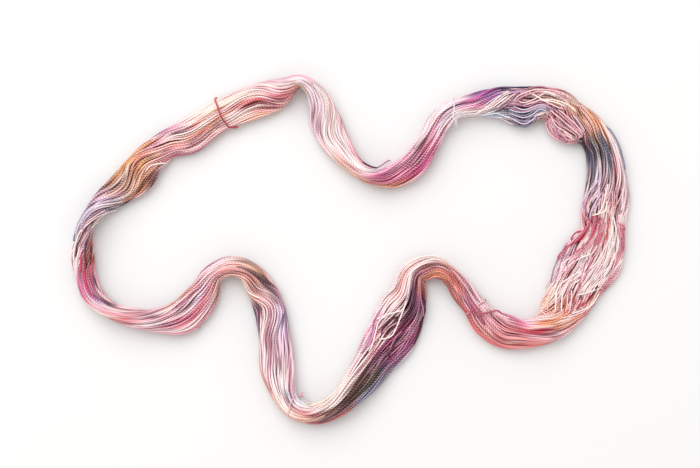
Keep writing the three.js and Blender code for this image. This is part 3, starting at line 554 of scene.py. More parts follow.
dyeStrokes["tan"] = (
    (0.08, 17.7, 0.15, 18.4), (0.08, 17.7, -0.7, 18.3), (0.08, 35.6, -0.6, 36.3), (0.08, 67.6, -0.1, 68.4),
    (0.08, 17.8, 0.05, 18.3), (0.08, 17.8, -0.6, 18.3), (0.05, 27.7, -0.6, 28.3), (0.07, 46.8, 0, 47.2),
    (0.08, 45.8, 0, 46.3), (0.07, 46.8, 0.15, 47.3), (0.12, 51.8, 0.7, 52.3, 0.75),
    (0.12, 52.8, -0.65, 53.3), (0.1, 67.7, 0.05, 68.3), (0.08, 52.6, -0.75, 53.4, -0.7),
    (0.08, 52.8, 0, 53.5), (0.1, 51.6, 0.7, 52.4, 0.8), (0.1, 51.6, 0.1, 52.6), (0.12, 52.6, -0.7, 53.4),
    (0.1, 66.6, 0.1, 67.4), (0.06, -1, 0.5, -0.3, 0.25), (0.06, -1, -0.25, 0, -0.2),
    (0.06, 0.9, -0.4, 1.7, -0.75), (0.1, 2.8, -0.75, 3.2, -1), (0.06, 3.2, -1, 4.6),
    (0.04, 5.2, 0.42, 6, 0.2, 6.4, -0.1), (0.07, 17.6, -0.72, 18.4), (0.06, 18.4, 0.3, 19.2),
    (0.06, 19, 0.95, 20.4, 0.9), (0.06, 19.2, 0.6, 20, 0.55, 20.5, 0.3),
    (0.05, 20.4, 0.8, 20.8, 0.3, 21.05, -0.1), (0.05, 23.6, 0.3, 25, 0.35), (0.07, 28.9, -0.05, 29.5, -0.2),
    (0.07, 36.1, -0.8, 36.4, -0.5), (0.04, 42.2, 0.3, 42.7, 0.15, 43.2, 0.05),
    (0.04, 47.6, 0.8, 48.6, 0.97, 49.4, 0.95), (0.04, 51.2, -0.15, 51.6, 0.4, 52, 0.72),
    (0.05, 52.1, 0.6, 53.2, 0.62), (0.04, 52.6, -0.3, 53.4, -0.2), (0.05, 56, -0.88, 57, -0.85, 57.8, -0.8),
    (0.07, 62.4, -0.5, 63.3, -0.6), (0.06, 66.3, 0.95, 67.4, 0.9), (0.07, 66.5, 0.6, 67.5),
    (0.07, 66.6, 0.15, 67.5, 0.12, 68.1, 0.25), (0.06, 66.9, -0.25, 67.6, -0.2, 68.2, -0.05),
    (0.06, 71, -0.1, 72.2), (0.05, 71.6, 0.2, 72.4, 0.28, 72.9, 0.3),
)
dyeStrokes["umber"] = (
    (0.03, 67.6, 0, 68.4), (0.07, 20.8, -0.6, 21.3), (0.05, 42.8, 0.1, 43.3), (0.06, 43.8, 0.05, 44.4),
    (0.03, 67.7, 0.15, 68.3, 0.1), (0.08, 20.8, -0.1, 21.3), (0.1, 43.6, 0.1, 44.6, 0.15),
    (0.06, 50.7, 0.6, 51.5, 0.66), (0.08, 20.9, -0.3, 21.4, -0.35), (0.06, 42.6, 0, 44, 0.1),
    # partly painted shade: the last stroke on this line, at row 13.6, ends the maroon line that marks a gap
    # between strands
    (0.05, 43.4, 0.3, 44.4), (0.04, 5.25, -0.75, 5.6, -0.68), (0.05, 13.55, 0.3, 13.9, 0.24),
    (0.05, 17.5, -0.35, 18.2, -0.32), (0.04, 18.1, 0.42, 18.6), (0.03, 18, 0, 18.7),
    (0.08, 20.7, -0.5, 21.4, -0.55), (0.05, 21.65, 0.32, 22.1, 0.3), (0.03, 23.2, -0.8, 23.7, -0.85),
    (0.04, 25.1, -0.62, 25.6, -0.7), (0.03, 29.8, 0.75, 30.3, 0.25, 30.8, -0.1),
    (0.03, 34.5, -0.65, 35.4, -0.66), (0.05, 36, -0.65, 36.5, -0.6),
    (0.06, 42.3, -0.05, 43, -0.15, 43.8, -0.05), (0.05, 42.6, -0.25, 43.4, -0.22),
    (0.05, 43.6, 0.05, 44.3, 0.15), (0.04, 44.8, 0.42, 45.4, 0.6), (0.02, 52, 0.88, 53.2, 0.93),
    (0.05, 51.7, -0.6, 52.5, -0.55), (0.04, 52.5, -0.75, 53, -0.85), (0.03, 55.3, 0.85, 55.8, 0.82),
    (0.03, 66.6, 0.35, 67.4, 0.3, 68, 0.4), (0.04, 67, -0.7, 67.6, -0.6, 68.2, -0.45),
    (0.05, 67.9, -0.62, 68.7, -0.58),
)
dyeStrokes["olive"] = (
    (0.06, 15.4, -0.55, 15.9, -0.5), (0.09, 42.2, 0.15, 43.3, 0.2), (0.07, 42.6, 0.45, 43.6),
    (0.03, 44.6, -0.5, 45.2, -0.8),
)
dyeStrokes["mauve"] = (
    (0.06, 32.8, 0.05, 34.2), (0.07, 48.8, -0.1, 49.4), (0.08, 41.8, 0, 42.3), (0.08, 48.8, 0.05, 49.3),
    (0.07, 54.8, 0.05, 55.3), (0.07, 69.8, 0.65, 70.3), (0.08, 37.8, 0.1, 38.3),
    (0.07, 40.7, -0.55, 41.4, -0.6), (0.08, 41.8, 0.1, 42.4), (0.08, 41.8, 0.7, 42.4),
    (0.08, 46.8, 0, 47.3), (0.1, 48.7, -0.65, 49.3), (0.08, 2.4, 0.6, 3.4, 0.7), (0.06, 46.7, 0, 47.4),
    (0.06, 48.7, 0.05, 49.4), (0.08, 50.6, -0.75, 51.3), (0.06, 57.6, -0.75, 58.5),
    (0.03, 56.6, -0.45, 57.3), (0.05, 57.6, 0.1, 58.2, 0.42), (0.03, 57.9, 0, 58.3, 0.2),
    (0.04, 27.1, -0.3, 27.8, -0.28), (0.05, 27.2, -0.65, 28.1, -0.7), (0.1, 48.8, 0.15, 49.8, 0.1),
    (0.1, 65.6, 0.7, 66.4, 0.6), (0.08, 2, 0.8, 2.6, 0.78), (0.06, 3.8, 0.95, 4.2, 0.85),
    (0.1, 5.2, -0.5, 6.1), (0.06, 16, -0.3, 16.5, 0.25, 16.9, 0.6),
    (0.07, 16.7, 0.7, 17.4, 0.9, 18.2, 0.95), (0.07, 16.9, 0, 17.9, 0.02), (0.08, 17.5, -0.85, 18.5, -0.9),
    (0.06, 23.2, 0.3, 23.6, 0.75, 23.9, 0.9), (0.05, 23, 0.98, 24.2, 1), (0.05, 24, 0.42, 25.4, 0.5),
    (0.05, 23.6, -0.5, 24.9, -0.58), (0.07, 26.3, -0.75, 27, -0.85), (0.06, 27, -0.92, 28, -0.95),
    (0.03, 31, 0.55, 31.7, 0.1, 32.3, -0.25), (0.03, 32, 0.15, 33.4, 0.1), (0.04, 32.2, -0.3, 33.3, -0.45),
    (0.06, 32.2, -0.9, 33, -0.92), (0.07, 34.1, 0.42, 34.7, 0.1, 35.1, -0.2),
    (0.08, 34.4, -0.45, 35.2, -0.5), (0.05, 37.3, 0.25, 38.2, 0.4), (0.05, 38.9, 0.4, 39.8, 0.55),
    (0.05, 48.1, 0.32, 48.8, 0.48, 49.6, 0.45), (0.05, 47.4, -0.55, 48.2, -0.75, 49.2, -0.68),
    (0.05, 49.6, 0.32, 50.4, 0.08, 50.9, -0.1), (0.06, 50.8, -0.3, 51.3, -0.45),
    (0.06, 54, -0.95, 54.8, -0.98), (0.07, 58.2, -0.3, 58.8, 0.05),
    (0.07, 60.4, -0.35, 61, -0.3, 61.6, -0.4), (0.07, 62.3, 0.3, 62.8, 0.05),
    (0.06, 65.7, 0.05, 66.2, -0.2), (0.06, 65.8, 0.6, 66.4, 0.5), (0.05, 66.4, -0.1, 67.1, -0.2),
    (0.06, 69.4, 1, 70, 0.8, 70.5, 0.62),
)
dyeStrokes["lilac"] = (
    (0.1, 63.6, 0.05, 65.4), (0.09, 63.7, 0.12, 64.3), (0.09, 63.7, -0.15, 64.3), (0.14, 63.7, 0, 64.3),
    (0.14, 64.6, 0, 65.4), (0.08, 66.7, -0.6, 67.3), (0.1, 63.7, 0.1, 64.4, 0), (0.1, 64.4, 0, 65.4, -0.05),
    (0.12, 9.7, 0.85, 10.8), (0.12, 12.8, 0.75, 13.6, 0.8), (0.15, 12.6, -0.75, 13.6, -0.7),
    (0.1, 13.8, 0.6, 14.6), (0.1, 14.7, 0, 15.4, -0.1), (0.08, 2.8, 0.5, 3.2, 0),
    (0.08, 3.8, -0.2, 4.8, -0.5), (0.1, 8.55, 0, 9, 0.6, 9.3, 0.95), (0.12, 9.3, 0.75, 10.1, 0.95),
    (0.1, 13, -0.1, 14, 0), (0.06, 15.2, -0.45, 15.7, 0, 16.1, 0.4),
    (0.04, 16.4, -0.62, 17, -0.8, 17.5, -0.5, 18, -0.38), (0.08, 21.5, 1, 22.6, 0.95),
    (0.07, 22.6, -0.45, 23.4, -0.4), (0.08, 23.1, -0.5, 24.1, -0.55), (0.08, 46.7, -0.85, 47.6, -0.8),
    (0.08, 47.2, 0, 48, -0.2), (0.08, 48.4, -0.55, 49.4, -0.5), (0.08, 49.4, -0.15, 50.4, -0.4),
    (0.07, 49.6, -0.45, 50.6, -0.6), (0.04, 55.8, -0.12, 56.7), (0.07, 60.5, 0, 61, 0.25),
    (0.08, 64.3, 0.3, 64.9, 0.1), (0.12, 64.7, 0.65, 65.4, 0.4), (0.12, 65.5, 0.2, 66.3, 0.1),
    (0.1, 66, -0.3, 66.7, -0.5),
)
dyeStrokes["violet"] = (
    (0.06, 14.9, 0.7, 15.4, 0.75), (0.22, 14.8, 0.4, 15.3, 0.5, 16.1, 0.75), (0.1, 15, 0.1, 15.5, 0.35),
    (0.1, 15.2, 0.9, 15.9, 0.95), (0.05, 15.8, -0.35, 16.3, 0.05, 16.6, 0.4, 17, 0.65),
    (0.05, 49.3, -0.62, 50.1, -0.72), (0.05, 60.2, -0.45, 60.6, -0.15, 61.1), (0.04, 69.7, 0.98, 70.4, 0.7),
)
dyeStrokes["grape"] = (
    (0.05, 10.7, 0, 11.3), (0.03, 32.6, 0.25, 34, 0.2), (0.07, 38.7, -0.05, 39.4, 0),
    (0.07, 38.7, 0.2, 39.4, 0.25), (0.03, 48.8, 0.15, 49.3), (0.08, 38.7, 0.1, 39.4, 0.15),
    (0.08, 38.7, 0.6, 39.4, 0.65), (0.07, 39.8, 0.6, 40.4), (0.06, 40.8, 0.58, 42, 0.5),
    (0.05, 41.2, 0.9, 42.2, 0.72), (0.06, 50, 0.95, 51, 0.85),
)
dyeStrokes["pearl"] = (
    (0.12, 9.6, 0.85, 10.5, 0.9), (0.12, 12.6, -0.7, 13.4, -0.65), (0.1, 23.7, -0.65, 24.4),
    (0.1, 41.6, -0.6, 42.5), (0.1, 41.6, -0.85, 42.5), (0.1, 47.6, 0.1, 48.5), (0.1, 47.6, -0.2, 48.5),
    (0.08, 63.7, 0.2, 65.3, 0.15), (0.1, 12.7, -0.5, 13.4), (0.08, 12.7, -0.85, 13.4),
    (0.08, 23.8, -0.5, 24.4), (0.08, 41.8, -0.55, 42.4), (0.08, 47.7, -0.12, 48.3, -0.1),
    (0.08, 47.7, 0.2, 48.3), (0.08, 63.7, 0.5, 64.3), (0.08, 63.8, 0, 64.2, -0.05), (0.14, 11.7, 0.7, 12.4),
    (0.2, 12.7, -0.65, 13.4), (0.12, 23.8, -0.65, 24.5), (0.12, 39.7, -0.65, 40.3),
    (0.12, 41.8, -0.7, 42.5), (0.2, 47.7, 0.05, 48.4), (0.1, 48.7, 0.7, 49.3), (0.12, 63.7, 0.65, 64.3),
    # painted light: the wide stroke from row 11.8 to 13.4 at side -0.8 pales the lock's lower edge, which
    # lies on the shaded side
    (0.2, 11.8, -0.8, 13.4), (0.1, 11.6, 0.8, 12.6, 0.75), (0.12, 41.6, -0.75, 42.6), (0.15, 47.7, 0, 48.4),
    (0.1, 48.6, 0.75, 49.5), (0.12, 63.6, 0.7, 64.5, 0.65), (0.1, 64.6, 0.05, 65.5, -0.1),
    (0.3, 3.6, 0.3, 6.8, 0.2), (0.25, 4, -0.4, 7), (0.12, 13, -0.7, 14.4), (0.12, 13.2, 0.6, 14.2),
)
dyeStrokes["orchid"] = (
    (0.1, 9.5, 0.6, 10.6, 0.7), (0.1, 11.6, -0.8, 12.4), (0.09, 11.6, -0.55, 12.4),
    (0.08, 9.6, 0.9, 10.5, 0.92), (0.25, 9.7, 0.75, 10.6, 0.8), (0.2, 11.6, -0.7, 12.4),
    (0.06, 40.7, -0.75, 41.5), (0.2, 9.6, 0.7, 11.2, 0.75), (0.1, 40.7, -0.75, 41.4),
    (0.2, 11.5, -0.7, 12.8, -0.75), (0.12, 9.6, 0.8, 10.6), (0.08, 12, 0, 13),
)
dyeStrokes["cherry"] = (
    (0.05, 30.8, 0, 31.3), (0.05, 35.6, 0.15, 36.4), (0.06, 30.7, 0.05, 31.3, 0),
    (0.06, 35.6, 0.75, 36.4, 0.8), (0.03, 35.7, 0, 36.3), (0.06, 31.8, 0.95, 33.6),
    (0.1, 30.7, 0.05, 31.3, 0), (0.08, 32.6, 0.75, 34.2, 0.8), (0.08, 25.8, -0.6, 26.6, -0.65),
    (0.12, 0.6, 0.05, 1.6, -0.05), (0.03, 1.4, 0.05, 2.4, -0.3), (0.08, 31, -0.05, 31.6, 0.05),
    (0.07, 32, 0.85, 33.6, 0.88), (0.08, 30.8, -0.15, 31.6, -0.5, 32.2, -0.7),
    (0.06, 31.2, 0.9, 32.6, 0.95), (0.05, 25.4, 0.1, 26.4, 0.15), (0.05, 34, 0.8, 35, 0.75),
)
dyeStrokes["salmon"] = (
    (0.07, 0.8, 0.1, 1.3, 0.05), (0.08, 9.7, -0.6, 10.3), (0.1, 30.8, 0.6, 32.5),
    (0.08, 31.7, 0, 32.4, -0.05), (0.2, 31, 0.7, 33.6), (0.08, 0.7, 0.02, 1.4, -0.05),
    (0.15, 30.8, 0.75, 32.6, 0.8), (0.07, 31.8, 0.12, 33.2, 0.1), (0.06, 31.8, -0.3, 33, -0.4),
    (0.1, 30.8, 0.8, 32, 0.92, 33.8, 0.8), (0.08, 31.6, 0.3, 33),
)
dyeStrokes["navy"] = (
    (0.08, 20.9, -0.8, 21.6), (0.1, 21.6, 0.1, 22.4, 0.05), (0.08, 21.3, 0, 22.6), (0.08, 21.2, -0.4, 22.4),
    (0.05, 21.4, -0.95, 22.3), (0.07, 15.9, 0.92, 16.6, 0.9), (0.08, 16.3, -0.25, 16.9, -0.3),
    (0.04, 16.5, -0.75, 17, -0.95, 17.4, -0.7), (0.06, 22.1, 0.22, 22.8, 0.12),
    (0.1, 21.4, -0.55, 22.6, -0.6), (0.1, 21.7, -0.8, 22.6), (0.05, 23, 0.1, 23.25, -0.02),
    (0.05, 41.7, 0.58, 42.6, 0.52), (0.06, 51.9, -0.45, 52.4, -0.5), (0.04, 60.15, -0.52, 60.5, -0.28),
    (0.04, 64.1, 0.92, 64.6, 0.78), (0.07, 65.6, -0.45, 66, -0.6),
    (0.06, 65.9, -0.7, 66.5, -0.82, 67.1, -0.92),
)
dyeStrokes["slate"] = (
    (0.1, 22.8, -0.65, 23.3), (0.08, 64.7, -0.65, 65.3), (0.06, 65.6, 0.75, 66.4, 0.7),
    (0.07, -0.8, 0.08, -0.3, 0.02), (0.07, 8.35, 0.6, 8.6, 0.65), (0.06, 16.6, 1, 17.4),
    (0.05, 15.1, -0.9, 15.6), (0.1, 16.4, -0.45, 17, -0.55),
    (0.04, 21.4, 0.95, 22, 0.65, 22.8, 0.8, 23.4, 1), (0.08, 21.5, 0.15, 22.4, 0.15, 23.2, 0.1),
    (0.07, 21.5, -0.12, 22.8), (0.08, 22.6, -0.7, 23.3, -0.65), (0.08, 23, 0.15, 23.4, 0.05),
    (0.1, 23, -0.3, 23.5, -0.35), (0.12, 42.3, 0.75, 43.5, 0.7), (0.05, 43.2, 0.92, 43.7, 0.8),
    (0.08, 46.4, -0.1, 46.8, -0.35), (0.06, 50.1, -0.75, 50.7, -0.88), (0.05, 64, 0.98, 64.8, 0.82),
    (0.07, 64.3, 0.6, 64.6, 0.4), (0.05, 64.7, 0.15, 65.3, -0.15, 65.8, -0.3),
    (0.05, 65.2, -0.25, 65.9, -0.55), (0.05, 65.4, 0.85, 65.9, 0.7),
)
dyeStrokes["ice"] = (
    (0.08, 64, -0.1, 65.4, -0.15), (0.08, 64.6, -0.7, 65.4), (0.07, 22.8, 0.05, 23.2),
    (0.08, 64.7, -0.5, 65.3), (0.09, 64.7, 0.1, 65.3, 0.05), (0.1, 45.8, -0.7, 46.3),
    (0.1, 45.7, -0.7, 46.4), (0.1, 15.2, -0.8, 16.1, -0.75), (0.07, 43.4, 0.95, 44, 0.9),
    (0.1, 45.8, -0.5, 46.2, -0.6), (0.08, 46.6, -0.05, 47.2, -0.3),
)
dyeStrokes["peach"] = (
    (0.1, 71.6, -0.65, 72.4), (0.08, 19.7, -0.5, 20.2), (0.09, 71.7, -0.5, 72.3), (0.12, 70.7, 0, 71.4),
    (0.12, 71.7, -0.65, 72.3), (0.1, 2.7, -0.75, 3.4, -0.7), (0.15, 53.6, 0, 54.5), (0.12, 54.6, 0.8, 55.6),
    (0.12, 69.6, 0, 70.5), (0.1, 71.6, -0.7, 72.4), (0.1, 53.6, 0.75, 55.6), (0.08, 69.8, 0, 70.8, 0.02),
    (0.12, 53.6, 0.6, 54.6), (0.12, 0.4, -0.75, 1.6, -0.8), (0.16, 7, -0.65, 8.4, -0.7),
    (0.12, 8.3, -0.8, 9, -0.85), (0.06, 9.3, -0.9, 10, -0.85), (0.06, 18.7, 0.1, 19.6, 0.2),
    (0.08, 19.4, 0.4, 20.2, 0.35, 20.6, 0), (0.04, 19.7, -0.5, 20.3, -0.7),
    (0.05, 20.9, 0.8, 21.3, 0.4, 21.6, 0.1), (0.12, 29.3, -0.8, 30, -0.9),
    (0.05, 35.2, 0.25, 36.3, 0.2, 37.3, 0.42), (0.07, 38.2, -0.25, 38.9, -0.3),
    (0.07, 44.8, 0.25, 45.8, 0.35), (0.06, 45.6, 0.7, 46.8, 0.8), (0.07, 52.2, 0.4, 53.2, 0.45),
    (0.08, 52.9, -0.4, 53.6, -0.45), (0.05, 59.3, 0.1, 60.1, 0.8),
)

dyeing = {
    "rowScale": 1.3,  # half widths in the length of a row
    "unitWidth": 0.1,  # a stroke of this width weighs 1 along its middle, a narrower one more
    "endReach": 0.3,  # how little a stroke fades along its own way, past its ends
    "groundDye": "blush",
    "ground": 0.03,  # weight of the ground colour where no stroke reaches
    "alongStray": 0.22,  # rows by which a turn's dye lies off the strokes
    "alongWaves": (4, 26),  # fewest and most waves of that stray round the loop
    "sideStray": 0.06,
    "sideWaves": (6, 40),
    "uptake": 0.6,  # how unevenly the turns take up each dye
    "creep": 0.2,  # rows that a dye creeps along the yarn
    "paleShare": 0.3,  # how much of the yarn stays pale where a turn took no dye
    "paleWaves": (4, 22),
    "paleStray": 0.7,
    "paleRange": (0.4, 1.8),
    # painted shade for the gaps between the top turns: each layer further in is left less pale, darker by a
    # power, and tinted warm
    "paleLossInShade": 0.4,  # painted shade: share of that paleness that each layer further in loses
    "deepShadePower": 0.15,  # painted shade: power by which each layer further in is darker
    "deepShadeTint": np.array((0.06, 0.2, 0.17)),
    "fanPaintedLight": 0.2,  # painted light: how much paler the yarn is made where it lies fanned out, to lift the shade between its strands
    "fanStretches": ((24, 31.5, 1),),  # from row, to row, how much
    "fade": 0.11,  # share of grey in every dye
    "shadeStray": 0.16,
    "shadeWaves": (4, 40),
    "palest": 0.77,  # light that the palest yarn gives back
}


# display colour to light: c / 12.92 near black, ((c + 0.055) / 1.055) ^ 2.4 above
def toLight(colour):
    c = np.asarray(colour, float) / 255
    return np.where(c <= 0.04045, c / 12.92, ((c + 0.055) / 1.055) ** 2.4)


# soft noise along each turn: a sum of sines with whole numbers of waves round the loop
def wander(rng, turnCount, rows, lowWaves, highWaves, parts=4):
    waves = rng.integers(lowWaves, highWaves + 1, (parts, turnCount, 1))
    starts = rng.uniform(0, 2 * np.pi, (parts, turnCount, 1))
    return np.sin(2 * np.pi * waves * rows / rowCount + starts).sum(axis=0) * np.sqrt(2 / parts)


strokeParts = []  # row and side at both ends of each straight part of a stroke, and its width
strokeColour = []
for dye, strokes in dyeStrokes.items():
    for width, *places in strokes:
        if len(places) % 2:
            places.append(places[-2])
        for k in range(0, len(places) - 2, 2):
            strokeParts.append((*places[k:k + 4], width))
            strokeColour.append(toLight(palette[dye]))
strokeParts = np.array(strokeParts)
strokeColour = np.array(strokeColour)
groundColour = toLight(palette[dyeing["groundDye"]])
print("dye:", len(palette), "colours,", len(strokeParts), "parts of strokes")


# colour on one turn: each stroke weighs exp(uptake - (distance / width)^2), more the narrower it is,
# and fades slowly past its ends
def dyeWeighed(along, across, uptake):
    firstRow, firstSide, lastRow, lastSide, width = strokeParts.T
    middle = (firstRow + lastRow) / 2
    x = np.mod(along[:, None] - middle + rowCount / 2, rowCount) - rowCount / 2 + middle - firstRow
    x = dyeing["rowScale"] * x
    y = across[:, None] - firstSide
    runX = dyeing["rowScale"] * (lastRow - firstRow)
    runY = lastSide - firstSide
    lengthSquared = runX ** 2 + runY ** 2
    share = (x * runX + y * runY) / lengthSquared
    past = (share - np.clip(share, 0, 1)) ** 2 * lengthSquared
    off = (x * runY - y * runX) ** 2 / lengthSquared
    far = (off + dyeing["endReach"] ** 2 * past) / width ** 2
    weight = np.exp(uptake - far) * dyeing["unitWidth"] / width
    ground = dyeing["ground"]
    total = weight.sum(axis=1, keepdims=True) + ground
    return (weight @ strokeColour + ground * groundColour) / total


# dye that crept along the yarn: every wave of its colour round the loop is multiplied by
# exp(-(2 pi waves creep / rows)^2 / 2)
def creptAlong(colour):
    waves = np.arange(colour.shape[1] // 2 + 1)
    left = np.exp(-0.5 * (2 * np.pi * waves * dyeing["creep"] / rowCount) ** 2)
    return np.fft.irfft(np.fft.rfft(colour, axis=1) * left[:, None], colour.shape[1], axis=1)


# colour of the yarn: the strokes after each turn's own stray, some of it left pale; painted shade in each
# layer further in, less left pale and deeper by a power and a tint; painted light in the fan, where it is
# paler; faded towards its own grey, and shaded unevenly
def dyeAndPaintedLightAt(rng, rows, side, layer):
    count = len(rows)
    depth = layer[:, None, None]
    along = rows + dyeing["alongStray"] * wander(rng, count, rows, *dyeing["alongWaves"])
    across = side + dyeing["sideStray"] * wander(rng, count, rows, *dyeing["sideWaves"])
    uptake = dyeing["uptake"] * rng.normal(0, 1, (count, len(strokeParts)))
    colour = creptAlong(np.stack([dyeWeighed(along[k], across[k], uptake[k]) for k in range(count)]))
    bare = wander(rng, count, rows, *dyeing["paleWaves"]) + rng.normal(0, dyeing["paleStray"], (count, 1))
    bare = dyeing["paleShare"] * smoothStep(bare, *dyeing["paleRange"])[..., None]
    # painted shade: each layer further in is left less pale, then darkened by a power and a warm tint
    bare = bare * (1 - dyeing["paleLossInShade"] * depth)
    colour = colour * (1 - bare) + groundColour * bare
    colour = colour ** (1 + dyeing["deepShadePower"] * depth)
    colour = colour * (1 - depth * dyeing["deepShadeTint"])
    # painted light: paler where the yarn lies fanned out
    colour = colour * (1 + dyeing["fanPaintedLight"] * slackAt(rows, dyeing["fanStretches"]))[..., None]
    colour = colour + dyeing["fade"] * (colour.mean(axis=-1, keepdims=True) - colour)
    shade = dyeing["shadeStray"] * wander(rng, count, rows, *dyeing["shadeWaves"])
    colour = colour * np.exp(shade)[..., None]
    return colour * np.minimum(1, dyeing["palest"] / colour.max(axis=-1, keepdims=True))


# Turns of yarn

yarn = {
    "diameter": 1.75,
    "beadPitch": 2.9,  # from one ply showing on top to the next
    "outerTurns": 64,
    "middleTurns": 56,
    "innerTurns": 30,
    "layerDepth": 1.4,  # from one layer of turns to the next
    "samples": 1500,  # places where a turn's route is worked out
    "steps": 740,  # rings of a turn
    "innerSteps": 220,
    "sides": 4,
    "lockCount": 6,  # pieces that the outer and middle turns are shared between
    "flatStrips": 5,  # strips of a turn in the flat map
    "lockSeed": 20,
    "innerSeed": 40,
}

laying = {
    "laneStray": 2.6,  # degrees that a turn wanders from its lane
    "laneWaves": (4, 30),  # fewest and most waves of that wander round the loop
    "tiedHold": 0.6,  # share of the wander that a tie takes away
    "riseStray": 0.35,
    "riseWaves": (6, 40),
    "crowdRise": 0.5,  # how far a crowded lane stands up
    "slackStray": 1.3,  # a turn's own sideways wander where the yarn lies slack
    "slackWaves": (12, 34, 5),  # fewest, most, and the number of sines
    "slackRise": 0.7,
    "slackRiseWaves": (14, 34, 5),
    "swellGround": 0.15,  # swells of yarn that lies tight
    "swellRise": 0.4,
    "edgeInset": 0.4,  # yarn diameters from the form's side to the outermost reach
    "edgeShare": 0.86,  # share of that reach past which the turns draw together
    "edgeSlack": 1.5,
}

sinking = {
    "room": 1.05,  # yarn diameters that a turn needs beside its neighbours
    "crowdRange": (0.3, 2),  # least and most share of its room that crowding leaves
    "orderStep": 0.618034,  # the golden section
    "orderStray": 0.25,
    "orderWaves": (2, 9),
    "depth": 0.9,  # yarn diameters that a turn sinks
    "soft": 0.12,
}

# where the turns wave: from row, to row, how much
waveStretches = ((16, 21.6, 0.9), (25, 31, 0.9), (38, 43.5, 0.4))

swells = (  # neighbours waving together where slack: number round the section, waves, sideways, start
    (1, 23, 1.5, 0.15),
    (2, -17, 1.3, 0.55),
    (3, 31, 1.0, 0.8),
    (2, -37, 0.7, 0.35),
)

clumps = (  # lanes drawn together: number round the section, share, waves along the loop, start
    (7, 0.5, 5, 0.1),
    (11, 0.55, -8, 0.4),
    (17, 0.5, 13, 0.7),
    (26, 0.35, -21, 0.2),
)
clumpChange = 0.35  # share of a clump that comes and goes along the loop
clumpWaves = 3


# phase of a wave that runs round the section and along the loop
def wavePhase(number, lane, waves, rows, start):
    return np.radians(number * lane) + 2 * np.pi * (waves * rows / rowCount + start)


# lanes move round the section by summed sines of the lane's own angle, so neighbours gather and part;
# the slope of that sum says how crowded a lane is, and a crowded lane stands higher
def gatherLanes(lane, rows):
    shift = np.zeros(np.broadcast(lane, rows).shape)
    crowd = np.zeros_like(shift)
    for number, share, waves, start in clumps:
        phase = wavePhase(number, lane, waves, rows, start)
        change = np.sin(2 * np.pi * (clumpWaves * rows / rowCount + 2 * start))
        strength = share * (1 - clumpChange + clumpChange * change)
        shift += np.degrees(strength * np.sin(phase) / number)
        crowd -= strength * np.cos(phase)
    return shift, crowd


# where lanes lie closer than the yarn is thick, the share that finds no room sinks below its neighbours;
# a lane's place in that order comes from steps of the golden section, with a slow change along the loop;
# the section's girth is pi (1.5 (a + b) - sqrt(a b)), with half its width and half its height as a and b
def sinkLanes(rng, lane, rows, crowd):
    _, _, half, height = routeAt(rows)
    girth = np.pi * (0.75 * (2 * half + height) - np.sqrt(half * height / 2))
    room = girth / yarn["outerTurns"] * np.clip(1 - crowd, *sinking["crowdRange"])
    short = 1 - room / (sinking["room"] * yarn["diameter"])
    order = np.mod(lane * sinking["orderStep"] * yarn["outerTurns"] / 360, 1)[:, None]
    order = order + sinking["orderStray"] * wander(rng, len(lane), rows, *sinking["orderWaves"])
    order = np.abs(np.mod(order + 1, 2) - 1)
    soft = sinking["soft"]
    return sinking["depth"] * yarn["diameter"] * smoothStep(short - order, -soft, soft)


# route of each turn: its lane on the wound form, drawn in by its layer, with its own small wander; past
# the edge's share of the reach, what is over is drawn in by tanh
def layTurns(rng, lane, inset):
    count = len(lane)
    lanes = lane[:, None]
    rows = np.linspace(0, rowCount, yarn["samples"], endpoint=False)[None, :] + np.zeros((count, 1))
    slack = slackAt(rows, waveStretches)
    shift, crowd = gatherLanes(lanes, rows)
    free = 1 - laying["tiedHold"] * tiedAt(rows)
    degrees = lanes + turnAt(rows) + shift * free
    degrees = degrees + laying["laneStray"] * free * wander(rng, count, rows, *laying["laneWaves"])
    rise = laying["riseStray"] * wander(rng, count, rows, *laying["riseWaves"])
    deep = inset[:, None] - laying["crowdRise"] * crowd * free + rise
    deep = np.maximum(deep, 0.5 * yarn["diameter"]) + sinkLanes(rng, lane, rows, crowd)
    out, up, floor = sectionPoint(rows, degrees, deep)
    for number, waves, much, start in swells:
        phase = wavePhase(number, lanes, waves, rows, start)
        out = out + (laying["swellGround"] + slack) * much * np.sin(phase)
        up = up + laying["swellRise"] * slack * much * np.cos(phase)
    out = out + laying["slackStray"] * slack * wander(rng, count, rows, *laying["slackWaves"])
    up = up + laying["slackRise"] * slack * wander(rng, count, rows, *laying["slackRiseWaves"])
    half = routeAt(rows)[2]
    reach = half - laying["edgeInset"] * yarn["diameter"]
    inner = laying["edgeShare"] * reach
    over = np.maximum(np.abs(out) - inner, 0)
    spare = (1 - laying["edgeShare"]) * reach + laying["edgeSlack"] * slack
    out = np.sign(out) * (np.minimum(np.abs(out), inner) + spare * np.tanh(over / spare))
    up = np.maximum(up, floor + 0.5 * yarn["diameter"])
    return rows, placeAt(rows, out, up), out / half


# the same turns with rings at equal steps along the yarn: place, row and side read off at equal lengths
def evenSteps(rows, places, side, steps):
    even = np.empty((len(rows), steps, 5))
    for turn in range(len(rows)):
        loop = np.vstack([places[turn], places[turn, :1]])
        length = np.concatenate([[0], np.cumsum(np.linalg.norm(np.diff(loop, axis=0), axis=1))])
        at = np.linspace(0, length[-1], steps, endpoint=False)
        columns = (*loop.T, np.append(rows[turn], rowCount), np.append(side[turn], side[turn, 0]))
        even[turn] = np.column_stack([np.interp(at, length, column) for column in columns])
    return even


# Strands as meshes

upAxis = (0, 0, 1.0)
flatMargin = {"end": 0.002, "side": 0.04}  # left free round a strip of the flat map


